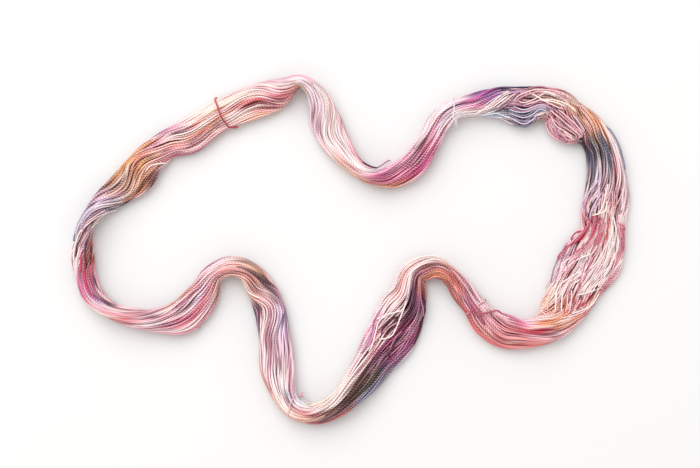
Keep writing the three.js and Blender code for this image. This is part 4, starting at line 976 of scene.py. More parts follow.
# corners at a radius round each place of a path, set square to the way it runs and turned to an axis
def strandRings(paths, radius, closed, sides, about):
    if closed:
        along = np.roll(paths, -1, axis=1) - np.roll(paths, 1, axis=1)
    else:
        along = np.gradient(paths, axis=1)
    along /= np.linalg.norm(along, axis=-1, keepdims=True)
    side = np.cross(along, about)
    side /= np.linalg.norm(side, axis=-1, keepdims=True)
    over = np.cross(side, along)
    angle = 2 * np.pi / sides * np.arange(sides)[:, None]
    way = side[:, :, None, :] * np.cos(angle) + over[:, :, None, :] * np.sin(angle)
    return paths[:, :, None, :] + way * np.broadcast_to(radius, paths.shape[:2])[:, :, None, None]


# four-sided faces between neighbouring rings; the twist's map counts beads along a strand and its way
# round, and the flat map lays every strand in strips side by side
def ringFaces(count, steps, closed, sides, strips, beads):
    last = steps if closed else steps - 1
    strand, ring, corner = np.meshgrid(np.arange(count), np.arange(last), np.arange(sides), indexing="ij")
    here = (strand * steps + ring) * sides
    ahead = (strand * steps + (ring + 1) % steps) * sides
    beside = (corner + 1) % sides
    faces = np.stack([here + corner, here + beside, ahead + beside, ahead + corner], axis=-1)
    across = np.stack([corner, corner + 1, corner + 1, corner], axis=-1) / sides
    along = np.stack([ring, ring, ring + 1, ring + 1], axis=-1)
    ply = np.stack([along * np.reshape(beads, (-1, 1, 1, 1)), across], axis=-1)
    stripSteps = -(-last // strips)
    strip = ring // stripSteps
    flatAlong = (along - (strip * stripSteps)[..., None]) / stripSteps
    flatAlong = flatMargin["end"] + (1 - 2 * flatMargin["end"]) * flatAlong
    flatAcross = flatMargin["side"] + (1 - 2 * flatMargin["side"]) * across
    flatAcross = ((strand * strips + strip)[..., None] + flatAcross) / (count * strips)
    flat = np.stack([flatAlong, flatAcross], axis=-1)
    return faces.reshape(-1, 4), ply.reshape(-1, 2), flat.reshape(-1, 2)


# one object from arrays of corners, faces and maps, with a colour for each corner
def yarnObject(name, corners, faces, plyMap, flatMap, colours, material):
    mesh = bpy.data.meshes.new(name)
    mesh.vertices.add(len(corners))
    mesh.vertices.foreach_set("co", (corners * mm).astype(np.float32).ravel())
    mesh.loops.add(faces.size)
    mesh.loops.foreach_set("vertex_index", faces.astype(np.int32).ravel())
    mesh.polygons.add(len(faces))
    mesh.polygons.foreach_set("loop_start", np.arange(0, faces.size, 4, dtype=np.int32))
    mesh.polygons.foreach_set("use_smooth", np.ones(len(faces), bool))
    mesh.update(calc_edges=True)
    for mapName, places in (("ply", plyMap), ("OFBake", flatMap)):
        layer = mesh.uv_layers.new(name=mapName, do_init=False)
        layer.uv.foreach_set("vector", places.astype(np.float32).ravel())
    mesh.uv_layers["ply"].active_render = True
    # the colour named dye holds the yarn's dye together with its painted shade and painted light
    paint = mesh.color_attributes.new("dye", "FLOAT_COLOR", "POINT")
    opaque = np.column_stack([colours, np.ones(len(colours))])
    paint.data.foreach_set("color", opaque.astype(np.float32).ravel())
    mesh.validate()
    mesh.materials.append(material)
    piece = bpy.data.objects.new(name, mesh)
    bpy.context.scene.collection.objects.link(piece)
    return piece


# beads of the twist in one step of each path: its mean step over the pitch
def beadsAlong(paths, pitch):
    return np.linalg.norm(np.diff(paths, axis=1), axis=-1).mean(axis=1) / pitch


# strands as one piece: a ring of corners carried along each path
def strandPiece(name, paths, radius, colours, beads, material, node,
                closed=False, sides=6, strips=1, about=upAxis):
    count, steps = paths.shape[:2]
    rings = strandRings(paths, radius, closed, sides, about)
    faces, plyMap, flatMap = ringFaces(count, steps, closed, sides, strips, beads)
    cornerColours = np.repeat(colours.reshape(-1, 3), sides, axis=0)
    piece = yarnObject(name, rings.reshape(-1, 3), faces, plyMap, flatMap, cornerColours, material)
    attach(piece, "root")
    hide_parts(node)
    print(name + ":", count, "strands,", 2 * len(faces), "triangles")


# Materials

twistShape = {
    "grooveStart": 0.6,  # cosine of the twist where a groove begins
    "grooveFoot": -0.5,  # and where it is deepest, less its width
    "flankPower": 4.0,
    "fibreDetail": 2.0,
    "fibreRoughness": 0.6,
}

yarnFinish = {
    "grooveWidth": 0.5,
    "fibreScale": 5200.0,
    "grooveDepth": 1.0,  # painted shade: how much darker the dye is made in the groove between plies
    "flankShade": 0.5,  # and painted shade on the strand's two flanks
    "grooveLift": -1.2,  # height of a groove beside that of the fibres
    "fibreShade": 0.15,
    # painted light: the dye is lifted by this share, to make up for the painted groove and flank shade and
    # the shade the turns cast on each other
    "lightness": 1.3,
    "smoothest": 0.55,
    "roughest": 0.8,
    "sheen": 0.12,
    "sheenRoughness": 0.4,
    "soft": 0.4,  # light that passes through the fibres
    "softReach": (1.0, 0.7, 0.7),
    "softScale": 0.0015,
    "specular": 0.2,
    "bumpStrength": 0.35,
    "bumpDistance": 0.0002,
}


# each socket gets its number, or a link from another node's output
def feed(tree, node, inputs):
    for socket, value in inputs.items():
        if isinstance(value, bpy.types.NodeSocket):
            tree.links.new(value, node.inputs[socket])
        else:
            node.inputs[socket].default_value = value


# a shader node with its settings and inputs
def addNode(tree, kind, inputs, **settings):
    node = tree.nodes.new("ShaderNode" + kind)
    for name, setting in settings.items():
        setattr(node, name, setting)
    feed(tree, node, inputs)
    return node


# one step of arithmetic on numbers or outputs
def mathNode(tree, operation, *values):
    return addNode(tree, "Math", dict(enumerate(values)), operation=operation).outputs[0]


# shader node group: grooves between two plies, a smooth step of cos 2 pi (beads along + twice round);
# the strand's flanks, |cos 2 pi round| to a power; and fine fibres from noise. Grooves and flanks are masks
# for painted shade
def makePlyTwist():
    group = bpy.data.node_groups.new("plyTwist", "ShaderNodeTree")
    for name in ("Groove Width", "Fibre Scale"):
        group.interface.new_socket(name, in_out="INPUT", socket_type="NodeSocketFloat")
    for name in ("Groove", "Flank", "Fibre"):
        group.interface.new_socket(name, in_out="OUTPUT", socket_type="NodeSocketFloat")
    given = group.nodes.new("NodeGroupInput").outputs
    result = group.nodes.new("NodeGroupOutput")
    uv = addNode(group, "UVMap", {}, uv_map="ply").outputs["UV"]
    parts = addNode(group, "SeparateXYZ", {0: uv}).outputs
    helix = mathNode(group, "MULTIPLY_ADD", parts["Y"], 2.0, parts["X"])
    wave = mathNode(group, "COSINE", mathNode(group, "MULTIPLY", helix, 2 * np.pi))
    deepest = mathNode(group, "SUBTRACT", twistShape["grooveFoot"], given["Groove Width"])
    groove = addNode(group, "MapRange", {
        "Value": wave,
        "From Min": twistShape["grooveStart"],
        "From Max": deepest,
        "To Min": 0.0,
        "To Max": 1.0,
    }, interpolation_type="SMOOTHSTEP")
    sideways = mathNode(group, "COSINE", mathNode(group, "MULTIPLY", parts["Y"], 2 * np.pi))
    flank = mathNode(group, "POWER", mathNode(group, "ABSOLUTE", sideways), twistShape["flankPower"])
    fibre = addNode(group, "TexNoise", {
        "Vector": addNode(group, "TexCoord", {}).outputs["Object"],
        "Scale": given["Fibre Scale"],
        "Detail": twistShape["fibreDetail"],
        "Roughness": twistShape["fibreRoughness"],
    })
    feed(group, result, {"Groove": groove.outputs["Result"], "Flank": flank, "Fibre": fibre.outputs["Fac"]})
    return group


# dyed yarn: painted shade, the dye raised to a power in ply grooves and on flanks; mottled by fibres, which
# also make it rougher and lift the surface
def makeYarnMaterial(name, finish, plyTwist):
    material = bpy.data.materials.new(name)
    material.use_nodes = True
    tree = material.node_tree
    dye = addNode(tree, "VertexColor", {}, layer_name="dye").outputs["Color"]
    ownTwist = {"Groove Width": finish["grooveWidth"], "Fibre Scale": finish["fibreScale"]}
    twist = addNode(tree, "Group", ownTwist, node_tree=plyTwist).outputs
    shade = finish["fibreShade"]
    mottle = mathNode(tree, "MULTIPLY_ADD", twist["Fibre"], 2 * shade, finish["lightness"] - shade)
    # painted shade: the dye is raised to a higher power on the flanks and in the ply grooves
    flank = mathNode(tree, "MULTIPLY_ADD", twist["Flank"], finish["flankShade"], 1.0)
    power = mathNode(tree, "MULTIPLY_ADD", twist["Groove"], finish["grooveDepth"], flank)
    deep = addNode(tree, "Gamma", {"Color": dye, "Gamma": power}).outputs["Color"]
    colour = addNode(tree, "VectorMath", {0: deep, "Scale": mottle}, operation="SCALE")
    rough = addNode(tree, "MapRange", {
        "Value": twist["Fibre"],
        "To Min": finish["smoothest"],
        "To Max": finish["roughest"],
    })
    bump = addNode(tree, "Bump", {
        "Strength": finish["bumpStrength"],
        "Distance": finish["bumpDistance"],
        "Height": mathNode(tree, "MULTIPLY_ADD", twist["Groove"], finish["grooveLift"], twist["Fibre"]),
    })
    feed(tree, tree.nodes["Principled BSDF"], {
        "Base Color": colour.outputs[0],
        "Roughness": rough.outputs["Result"],
        "Normal": bump.outputs["Normal"],
        "Specular IOR Level": finish["specular"],
        "Subsurface Weight": finish["soft"],
        "Subsurface Radius": finish["softReach"],
        "Subsurface Scale": finish["softScale"],
        "Sheen Weight": finish["sheen"],
        "Sheen Roughness": finish["sheenRoughness"],
    })
    return material


plyTwist = makePlyTwist()
dyedYarn = makeYarnMaterial("dyedYarn", yarnFinish, plyTwist)


# the turns of one piece: laid in their lanes, set in even steps and dyed, with painted shade and painted
# light in their colours
def makeTurns(name, lane, layer, steps, seed):
    rng = np.random.default_rng(seed)
    radius = 0.5 * yarn["diameter"]
    rows, places, side = layTurns(rng, lane, radius + yarn["layerDepth"] * layer)
    even = evenSteps(rows, places, side, steps)
    paths = even[..., :3]
    colours = dyeAndPaintedLightAt(rng, even[..., 3], even[..., 4], layer)
    beads = beadsAlong(paths, yarn["beadPitch"]).mean()
    strandPiece(name, paths, radius, colours, beads, dyedYarn, "skein",
                closed=True, sides=yarn["sides"], strips=yarn["flatStrips"])


outerLanes = np.arange(yarn["outerTurns"]) * 360 / yarn["outerTurns"]
middleLanes = (np.arange(yarn["middleTurns"]) + 0.5) * 360 / yarn["middleTurns"]
innerLanes = np.arange(yarn["innerTurns"]) * 360 / yarn["innerTurns"]
upperLanes = np.concatenate([outerLanes, middleLanes])
upperLayers = np.concatenate([np.zeros(len(outerLanes)), np.ones(len(middleLanes))])
for lock in range(yarn["lockCount"]):  # split by lanes, so that no piece holds too many faces
    own = np.floor(upperLanes * yarn["lockCount"] / 360).astype(int) == lock
    seed = yarn["lockSeed"] + lock
    makeTurns("lock%d" % (lock + 1), upperLanes[own], upperLayers[own], yarn["steps"], seed)
makeTurns("innerTurns", innerLanes, np.full(len(innerLanes), 2.0), yarn["innerSteps"], yarn["innerSeed"])


# Loose strands

loose = {
    "steps": 64,
    "diameter": 1.4,  # drawn out a little thinner than in the locks
    "lift": 0.5,  # a strand's middle above the yarn that it lies on
    "fillLift": -0.5,  # the same for the strands that fill the fan
    "dip": 2.6,  # how far a strand's ends go under
    "endShare": 0.12,
    "furrowShare": 0.5,  # how much of the furrows a strand follows
    "fall": 0.9,  # slope beyond the yarn's sides
    "smoothing": 9,  # steps that a strand's height is smoothed over
    "sections": 40,  # tried in each row for the one nearest to a place
    "spanShares": (0.35, 0.7),  # shortest and longest strand of a bundle, as shares of its rows
    "swayWaves": 0.45,  # in a row
    "swayStray": 0.4,
    "paleShares": (0.2, 0.8),  # least and most of a bundle's own dye
    "seed": 77,
}

# single strands on top: dye, then x and y of the places each runs through, as the route is written
looseStrands = (
    # left half turn
    ("undyed", -235, 40, -244, 37, -254, 31, -262, 24, -268, 18, -272, 9, -275, -3, -276, -18),
    ("undyed", -253, 28, -259, 21, -264, 13, -268, 5, -271, -5, -273, -14),
    ("maroon", -248, 35, -256, 28, -263, 20, -268, 11, -272, 2, -273, -9),
    ("lilac", -252, 45, -260, 38, -265, 31, -270, 23, -273, 16),
    ("lilac", -256, 43, -262, 38, -267, 31, -271, 24, -274, 16),
    ("slate", -260, 43, -266, 35, -271, 26, -275, 15, -276, 9),
    ("mauve", -246, 41, -256, 34, -263, 26, -268, 19),
    ("blush", -244, 40, -254, 33, -262, 26, -268, 15),
    ("rose", -257, 24, -263, 16, -267, 8, -270, 0),
    ("maroon", -262, 11, -263, 3, -264, -6, -262, -19),
    ("umber", -259, 5, -258, -3, -259, -14),
    ("crimson", -266, 0, -268, -9, -267, -24),
    # upper left lock
    ("undyed", -205, 78, -199, 84, -191, 86, -184, 87),
    # upper valley, with its loose end
    ("plum", 11, 88, 16, 85, 21, 83, 26, 82),
    ("mauve", 26, 82, 31, 85, 35, 88, 39, 90),
    # pale lock that crosses to the outside
    ("undyed", 123, 135, 132, 140, 142, 148, 151, 155, 158, 158),
    ("blush", 125, 136, 135, 141, 144, 147, 153, 154, 161, 157),
    ("lilac", 132, 143, 140, 149, 147, 153, 154, 156),
    ("undyed", 130, 138, 140, 142, 149, 148, 157, 154),
    ("blush", 144, 141, 152, 147, 158, 152, 164, 156),
    ("mauve", 146, 140, 154, 144, 159, 149, 164, 155, 169, 158),
    ("ice", 128, 134, 137, 135, 146, 136, 154, 133),
    ("ice", 134, 134, 144, 133, 152, 132),
    ("navy", 147, 160, 159, 162, 175, 163, 192, 163),
    # slack folds
    ("blush", 161, 147, 166, 153, 172, 156, 186, 160, 206, 158, 213, 155, 218, 149),
    ("pink", 163, 147, 169, 152, 180, 156, 192, 158, 208, 155, 215, 150),
    ("blush", 168, 147, 175, 147, 184, 151, 193, 156, 200, 156, 213, 150),
    ("cream", 178, 157, 186, 152, 191, 149, 202, 147, 216, 142),
    ("cream", 190, 150, 203, 149, 214, 145, 220, 142, 225, 136),
    ("blush", 171, 144, 182, 147, 187, 149, 192, 148, 205, 142, 212, 140),
    ("mauve", 165, 145, 176, 143, 186, 147, 196, 143, 206, 137),
    ("lilac", 162, 143, 169, 140, 175, 140, 180, 142, 186, 144, 192, 144, 197, 142, 202, 138),
    ("mauve", 158, 142, 163, 140, 168, 138, 173, 138, 179, 140, 184, 142, 189, 143, 194, 142, 200, 138),
    ("lilac", 156, 141, 163, 138, 170, 137, 176, 138, 181, 140, 186, 142, 191, 142, 196, 139),
    ("slate", 156, 139, 163, 136, 170, 134, 176, 135, 181, 138, 186, 141, 191, 141, 197, 137),
    ("lilac", 157, 137, 164, 134, 171, 132, 177, 133, 182, 136, 187, 140, 192, 139, 197, 135),
    ("slate", 156, 136, 163, 132, 170, 129, 176, 130, 181, 134, 186, 138, 191, 138, 195, 136),
    ("lilac", 156, 134, 164, 129, 171, 126, 177, 127, 182, 131, 187, 136, 192, 137, 196, 134),
    ("slate", 158, 130, 166, 125, 172, 123, 178, 124, 183, 129, 188, 134, 193, 134),
    ("tan", 185, 129, 188, 132, 192, 134, 195, 132),
    ("blush", 196, 141, 209, 130, 223, 118, 228, 114, 226, 111),
    ("pink", 200, 142, 216, 128, 229, 116, 229, 112),
    ("blush", 206, 140, 221, 127, 231, 116),
    ("pink", 195, 137, 206, 126, 219, 118, 224, 114, 224, 110),
    ("blush", 198, 134, 205, 123, 216, 116, 222, 109),
    ("pink", 202, 137, 213, 127, 224, 119, 227, 113),
    ("pink", 200, 130, 204, 118, 207, 111),
    ("mauve", 202, 126, 208, 112, 216, 107),
    ("pink", 206, 121, 214, 111, 222, 109),
    ("blush", 209, 121, 218, 112, 223, 110),
    ("lilac", 221, 134, 230, 122, 232, 118),
    ("tan", 219, 142, 232, 123, 240, 112),
    ("tan", 216, 150, 226, 136, 238, 116),
    ("slate", 254, 124, 262, 116, 268, 105, 272, 92, 274, 80),
    # small bulge above the fan
    ("lilac", 247, 70, 238, 58, 231, 46, 233, 34),
    ("mauve", 248, 66, 240, 56, 234, 45, 235, 35),
    ("blush", 248, 62, 241, 52, 237, 43, 238, 34),
    ("lilac", 250, 58, 244, 48, 240, 40, 238, 32),
    ("plum", 246, 54, 241, 46, 238, 38, 236, 31),
    ("undyed", 256, 66, 253, 52, 250, 42, 246, 36),
    # fan
    ("cream", 255, 49, 254, 40, 249, 37, 240, 34),
    ("undyed", 261, 36, 264, 20, 263, 10, 254, -10, 251, -17),
    ("undyed", 247, 7, 240, -3, 227, -9, 216, -17, 213, -22),
    ("blush", 251, 7, 243, -10, 231, -29),
    ("undyed", 227, -3, 214, -11, 210, -15, 210, -22, 208, -29, 203, -36, 199, -43, 196, -50),
    ("brick", 256, 43, 255, 18, 246, -2, 232, -19),
    ("blush", 263, 7, 256, -10, 244, -32),
    ("crimson", 231, 19, 226, 18, 222, 14, 220, 9),
    ("crimson", 235, 21, 227, 10, 216, 3, 208, -6, 207, -11),
    ("mauve", 209, -5, 203, -19, 200, -33),
    ("undyed", 273, -9, 263, -19, 259, -27),
    ("undyed", 249, -38, 237, -42, 225, -45),
    ("rose", 265, 27, 272, 24, 274, 20),
    ("pink", 266, 21, 272, 10, 274, 3, 270, -10),
    ("undyed", 261, 28, 260, 16, 254, 4, 245, -12, 233, -23),
    ("blush", 265, 20, 262, 4, 256, -8, 250, -24, 250, -39),
    ("undyed", 268, 16, 266, 2, 261, -10, 254, -24, 252, -29),
    ("pink", 270, 2, 266, -12, 259, -24, 252, -39, 247, -48),
    ("undyed", 248, 6, 237, -8, 234, -17, 230, -27, 222, -34),
    ("pink", 242, 10, 234, 3, 223, -5, 214, -8),
    ("blush", 252, 10, 247, 0, 238, -12, 232, -22, 223, -29, 212, -34),
    ("undyed", 230, -20, 219, -27, 210, -33, 205, -41, 203, -50),
    ("pink", 244, 14, 238, 4, 229, -4, 219, -12, 212, -25),
    ("rose", 246, 24, 240, 12, 230, 2, 222, -3),
    ("rose", 245, 34, 240, 16, 235, 6, 224, -10, 214, -28),
    ("rose", 255, 34, 250, 14, 245, 1, 237, -18, 229, -36),
    ("crimson", 242, 36, 238, 26, 234, 16, 229, 9),
    ("rose", 244, 36, 241, 24, 238, 12, 232, 4),
    ("crimson", 247, 36, 244, 26, 241, 16, 236, 8),
    ("rose", 250, 34, 247, 24, 245, 12, 241, 2),
    ("rose", 253, 34, 250, 24, 248, 12, 244, 4),
    ("rose", 240, 30, 234, 20, 228, 13, 221, 6),
    ("crimson", 238, 26, 231, 17, 224, 10, 217, 2),
    ("rose", 236, 24, 228, 14, 220, 6, 213, -2, 208, -10),
    ("rose", 268, 26, 271, 14, 271, 2, 267, -8),
    ("rose", 270, 24, 273, 12, 273, 2),
    ("pink", 265, 30, 268, 16, 268, 4, 264, -8),
    ("rose", 248, 24, 245, 8, 236, -10, 229, -28, 224, -49),
    ("rose", 266, 24, 268, 8, 266, -10, 255, -33, 245, -51),
    ("mauve", 216, 1, 211, -10, 206, -25, 203, -36),
    ("blush", 257, 12, 252, -6, 243, -22, 236, -34),
    ("peach", 201, -37, 198, -45, 196, -53, 196, -61),
    ("cream", 205, -42, 204, -52, 203, -62),
    ("tan", 208, -46, 207, -54, 207, -62),
    ("brick", 213, -48, 213, -56, 212, -63),
    ("peach", 216, -44, 215, -54, 213, -63),
    ("blush", 220, -40, 219, -52, 217, -63),
    ("cream", 211, -40, 210, -50, 209, -62),
    ("brick", 223, -46, 221, -56, 218, -64),
    ("crimson", 230, -44, 229, -52, 224, -60),
    ("crimson", 240, -44, 234, -52, 230, -56),
    ("maroon", 247, -34, 241, -45, 234, -53),
    ("undyed", 249, -42, 240, -55, 230, -60, 218, -64),
    ("blush", 246, -51, 234, -60, 222, -65, 206, -68),
    ("rose", 245, -53, 235, -62, 229, -66),
    ("blush", 196, -43, 191, -49, 189, -56, 191, -62, 196, -65),
    # right hump and the lock below it
    ("undyed", 24, -70, 30, -67, 37, -64, 44, -62, 50, -60),
    ("undyed", 37, -65, 31, -68, 27, -73, 25, -80, 23, -88, 21, -95, 18, -101),
    ("mauve", 30, -60, 25, -67, 22, -75, 21, -84, 18, -91, 14, -98, 9, -105),
    ("orchid", 33, -63, 28, -70, 24, -76, 22, -84, 19, -92, 15, -98),
    ("maroon", 47, -70, 42, -73, 37, -77, 33, -82),
    ("plum", 48, -66, 43, -68, 37, -72, 32, -78, 30, -84),
    ("maroon", 46, -74, 41, -78, 36, -84),
    ("pink", 47, -72, 41, -75, 35, -80, 32, -85),
    ("maroon", 44, -67, 38, -70, 33, -75, 31, -80),
    ("plum", 69, -44, 73, -49, 74, -55, 74, -62, 72, -69),
    ("mauve", 69, -43, 70, -50, 72, -60, 73, -68),
    ("mauve", 60, -76, 56, -86, 51, -96, 45, -104),
    ("mauve", 52, -80, 44, -88, 39, -98),
    ("mauve", 58, -89, 53, -98, 44, -107),
    ("plum", 54, -78, 46, -88, 41, -99, 36, -110),
    ("undyed", 28, -89, 35, -88, 41, -85, 44, -80, 47, -73, 50, -65, 53, -57, 56, -47),
    ("cream", -103, -41, -97, -45, -90, -48),
    # lower left lock
    ("pink", -186, -83, -175, -84, -163, -82, -151, -77),
)

# strands lying slack: first row, last row, lowest side, highest side, number, slant, sway, dye
slackBundles = (
    (24.6, 29.6, -0.85, 0.85, 44, 0.06, 0.05, "undyed"),
    (23.6, 26.4, -0.7, 0.85, 16, 0.05, 0.03, "blush"),
)


# height of the yarn's top at a share of the half width: the section's own arc over the belt, with its
# furrows taken at part of their depth, falling away beyond its reach
def topAt(rows, side):
    _, _, half, height = routeAt(rows)
    over = np.degrees(np.arccos(np.clip(side, -1, 1)))
    radius = 1 - loose["furrowShare"] + loose["furrowShare"] * lockRadius(rows, over)
    arc = np.sqrt(np.clip(1 - (side / radius) ** 2, 0, 1))
    dome = form["beltShare"] + (1 - form["beltShare"]) * radius * arc
    return height * dome - loose["fall"] * half * np.clip(np.abs(side) - 1, 0, None)


# row and side of places over the yarn: the nearest of many sections, and how far out of its middle they lie
def sectionNear(places):
    rows = np.linspace(0, rowCount, loose["sections"] * rowCount, endpoint=False)
    middle, forward, half, _ = routeAt(rows)
    away = places[:, None, :] - middle
    nearest = np.argmin((away ** 2).sum(axis=-1), axis=1)
    away = places - middle[nearest]
    out = forward[nearest, 0] * away[:, 1] - forward[nearest, 1] * away[:, 0]
    return rows[nearest], out / half[nearest]


# height of a strand over the yarn's top, a running mean along it, each end going under by a smooth step
def overTop(rows, side, lift):
    t = np.linspace(0, 1, loose["steps"])
    ends = smoothStep(np.minimum(t, 1 - t), 0, loose["endShare"])
    width = loose["smoothing"]
    top = np.pad(topAt(rows, side), width // 2, mode="edge")
    top = np.convolve(top, np.full(width, 1 / width), mode="valid")
    return np.maximum(top + lift - loose["dip"] * (1 - ends), yarn["diameter"])


# strands through their places, then bundles of strands that sway together, each a sine along the rows
def makeLooseStrands(material):
    rng = np.random.default_rng(loose["seed"])
    paths = []
    colours = []
    for dye, *places in looseStrands:
        path = curveThrough(np.reshape(places, (-1, 2)), loose["steps"]) - form["boxMiddle"]
        rows, side = sectionNear(path)
        paths.append(np.column_stack([path, overTop(rows, side, loose["lift"])]))
        colours.append(np.tile(toLight(palette[dye]), (loose["steps"], 1)))
    for first, last, low, high, count, slant, sway, dye in slackBundles:
        for k in range(count):
            span = (last - first) * rng.uniform(*loose["spanShares"])
            start = rng.uniform(first, last - span)
            rows = np.linspace(start, start + span, loose["steps"])
            side = low + (high - low) * (k + rng.uniform(0, 1)) / count
            side = side + rng.normal(0, slant) * (rows - start - span / 2)
            phase = 2 * np.pi * loose["swayWaves"] * rows + 2 * side[0] + rng.normal(0, loose["swayStray"])
            side = side + sway * np.sin(phase)
            paths.append(placeAt(rows, side * routeAt(rows)[2], overTop(rows, side, loose["fillLift"])))
            share = rng.uniform(*loose["paleShares"])
            colour = dyeWeighed(rows, side, np.zeros(len(strokeParts)))
            colours.append(colour * (1 - share) + share * toLight(palette[dye]))
    paths = np.array(paths)
    beads = beadsAlong(paths, yarn["beadPitch"])
    strandPiece("looseStrands", paths, 0.5 * loose["diameter"], np.array(colours), beads,
                material, "skein")


# a copy of the yarn's finish for strands that lie on top in more light: its dye is lifted less, with its own
# painted groove and flank shade
slackFinish = dict(yarnFinish, lightness=1.05, grooveDepth=0.35, flankShade=0.6)
slackYarn = makeYarnMaterial("slackYarn", slackFinish, plyTwist)
makeLooseStrands(slackYarn)


# Ties

tieThread = {
    "steps": 96,
    "pitch": 1.9,
    "brightness": 0.95,  # lies open to the light, unlike the yarn's turns
    "outlineStep": 2.0,  # degrees between the points of the outline that a loop is drawn round
    "outlineSoft": 4,  # degrees to either side that its reach is smoothed over
    "knotLift": 0.3,
    "knotSize": 1.5,  # thread radii
    "knotThread": 0.6,  # the thread drawn thin in its knot
    "tipRadius": 0.25,  # share of the thread's radius at a free end's tip
    "tipShare": 0.06,  # share of a free end that tapers
    "fibreRadius": 0.16,
    "fibreLength": 3.0,
    "fibreStray": np.array((0.35, 0.35, 0.14)),
    "fibreBend": np.array((0.3, 0.3, 0.09)),
    "fibreRoot": -0.15,  # share of its length that a fibre starts back inside the thread
    "shortestFibre": 0.5,
    "seed": 91,
}

# for each tie, against degrees from the outer side over the top: how far along the loop the thread lies,
# how deep it sinks into the yarn, and its display colour; its ends run through places given by rows from
# the tie, degrees and the height over the yarn, and have their own colour
ties = {
    "tie_upper_left": {
        "slot": "tie_pink",
        "row": tieRows["upperLeft"],
        "radius": 0.8,
        "slant": ((0, -0.4), (30, -2.2), (50, -2.6), (71, -2.8), (95, -3.6), (112, -3.2), (130, -1.7),
                  (152, 0.7), (180, 4.2), (225, 2), (300, 0), (360, -0.4)),
        "sunk": ((0, 0), (360, 0)),
        "dye": ((0, (206, 118, 128)), (60, (196, 104, 116)), (110, (180, 86, 100)), (180, (192, 102, 110)),
                (360, (206, 118, 128))),
        "knot": 186,
        "ends": (((0.14, 180, 0.8), (0.22, 178, 1.1), (0.34, 176, 1.6)),),
        "endDye": (192, 100, 108),
        "fibres": 3,
    },
    "tie_upper_middle": {
        "slot": "tie_pale",
        "row": tieRows["upperMiddle"],
        "radius": 0.5,
        "slant": ((0, 1.6), (60, -1), (100, -4), (139, -6.6), (180, -7), (230, -4), (300, 0), (360, 1.6)),
        "sunk": ((0, 0.3), (40, 0.7), (120, 0.6), (160, 0.2), (360, 0.3)),
        "dye": ((0, (226, 204, 216)), (90, (252, 246, 250)), (150, (255, 250, 252)), (360, (226, 204, 216))),
        "knot": 150,
        "ends": (((-0.28, 146, 0.6), (-0.4, 160, 1.2), (-0.5, 172, 2.2), (-0.62, 180, 3.0)),
                 ((-0.28, 146, 0.6), (-0.33, 166, 1.6), (-0.38, 180, 3.4), (-0.46, 186, 5.0)),
                 ((0.07, 12, 0.4), (0.08, 8, 0.8), (0.09, 4, 1.2))),
        "endDye": (255, 250, 252),
        "fibres": 6,
    },
    "tie_right": {
        "slot": "tie_rose",
        "row": tieRows["right"],
        "radius": 0.75,
        "slant": ((0, 1), (90, 0), (180, -1), (270, 0), (360, 1)),
        "sunk": ((0, 0), (60, 0), (72, 3), (116, 3), (128, 0.3), (360, 0)),
        "dye": ((0, (236, 182, 190)), (50, (226, 160, 172)), (60, (206, 118, 138)), (120, (196, 106, 122)),
                (140, (244, 226, 222)), (160, (200, 112, 124)), (180, (150, 70, 84)), (360, (236, 182, 190))),
        "knot": 57,
        "ends": (((-0.1, 57, 0.8), (-0.2, 62, 0.9), (-0.4, 80, 1.0), (-0.5, 102, 1.2), (-0.64, 123, 1.3),
                  (-0.9, 143, 1.4), (-1.15, 160, 1.4), (-1.45, 167, 1.6), (-1.75, 160, 1.2),
                  (-1.9, 150, 0.8)),),
        "endDye": (186, 92, 110),
        "fibres": 3,
    },
    "tie_bottom": {
        "slot": "tie_rose",
        "row": tieRows["bottom"],
        "radius": 0.75,
        "slant": ((0, 2), (60, 4), (109, 6.6), (150, 8), (180, 8.4), (230, 6), (300, 2), (360, 2)),
        "sunk": ((0, 0.8), (30, 1.3), (85, 1.3), (105, 0.1), (180, 0), (360, 0.8)),
        "dye": ((0, (236, 214, 214)), (90, (236, 208, 208)), (120, (232, 184, 190)), (180, (228, 172, 180)),
                (360, (236, 214, 214))),
        "knot": 172,
        "ends": (((0.36, 172, 0.8), (0.38, 176, 2.6), (0.42, 180, 5.6)),
                 ((0.34, 174, 0.8), (0.15, 180, 2.2), (-0.12, 184, 3.2))),
        "endDye": (226, 170, 178),
        "fibres": 4,
    },
}


# loop: the section's outline drawn tight by its greatest reach in each direction, then the thread's room
# over it; a point of it is the reach along that direction and the reach's slope across it
def tieLoop(tie, steps):
    row = float(tie["row"])
    degrees = np.arange(0, 360, tieThread["outlineStep"])
    out, up, floor = sectionPoint(np.full(degrees.shape, row), degrees, 0)
    up = np.maximum(up, floor)
    turn = np.linspace(tie["knot"], tie["knot"] + 360, steps)
    angle = np.radians(turn)
    soft = tieThread["outlineSoft"]
    near = angle + np.radians(np.arange(-soft, soft + 1))[:, None]
    reach = np.max(np.cos(near)[..., None] * out + np.sin(near)[..., None] * up, axis=-1).mean(axis=0)
    slope = np.gradient(reach, angle)
    at = np.mod(turn, 360)
    room = reach + tie["radius"] - np.interp(at, *np.transpose(tie["sunk"]))
    loopOut = room * np.cos(angle) - slope * np.sin(angle)
    loopUp = room * np.sin(angle) + slope * np.cos(angle)
    path = placeAt(np.full(steps, row), loopOut, loopUp)
    forward = routeAt(np.array([row]))[1][0]
    path[:, :2] += np.interp(at, *np.transpose(tie["slant"]))[:, None] * forward
    path[:, 2] = np.maximum(path[:, 2], tie["radius"])
    return path, at, np.append(forward, 0)


# small knot: a trefoil, sin t + 2 sin 2t by cos t - 2 cos 2t, with waves of -sin 3t
def tieKnot(place, size, forward, steps):
    t = np.linspace(0, 2 * np.pi, steps)[:, None]
    along = np.sin(t) + 2 * np.sin(2 * t)
    aside = np.cos(t) - 2 * np.cos(2 * t)
    across = np.array([-forward[1], forward[0], 0])
    return place + size / 3 * (along * forward + aside * across - np.sin(3 * t) * upAxis)


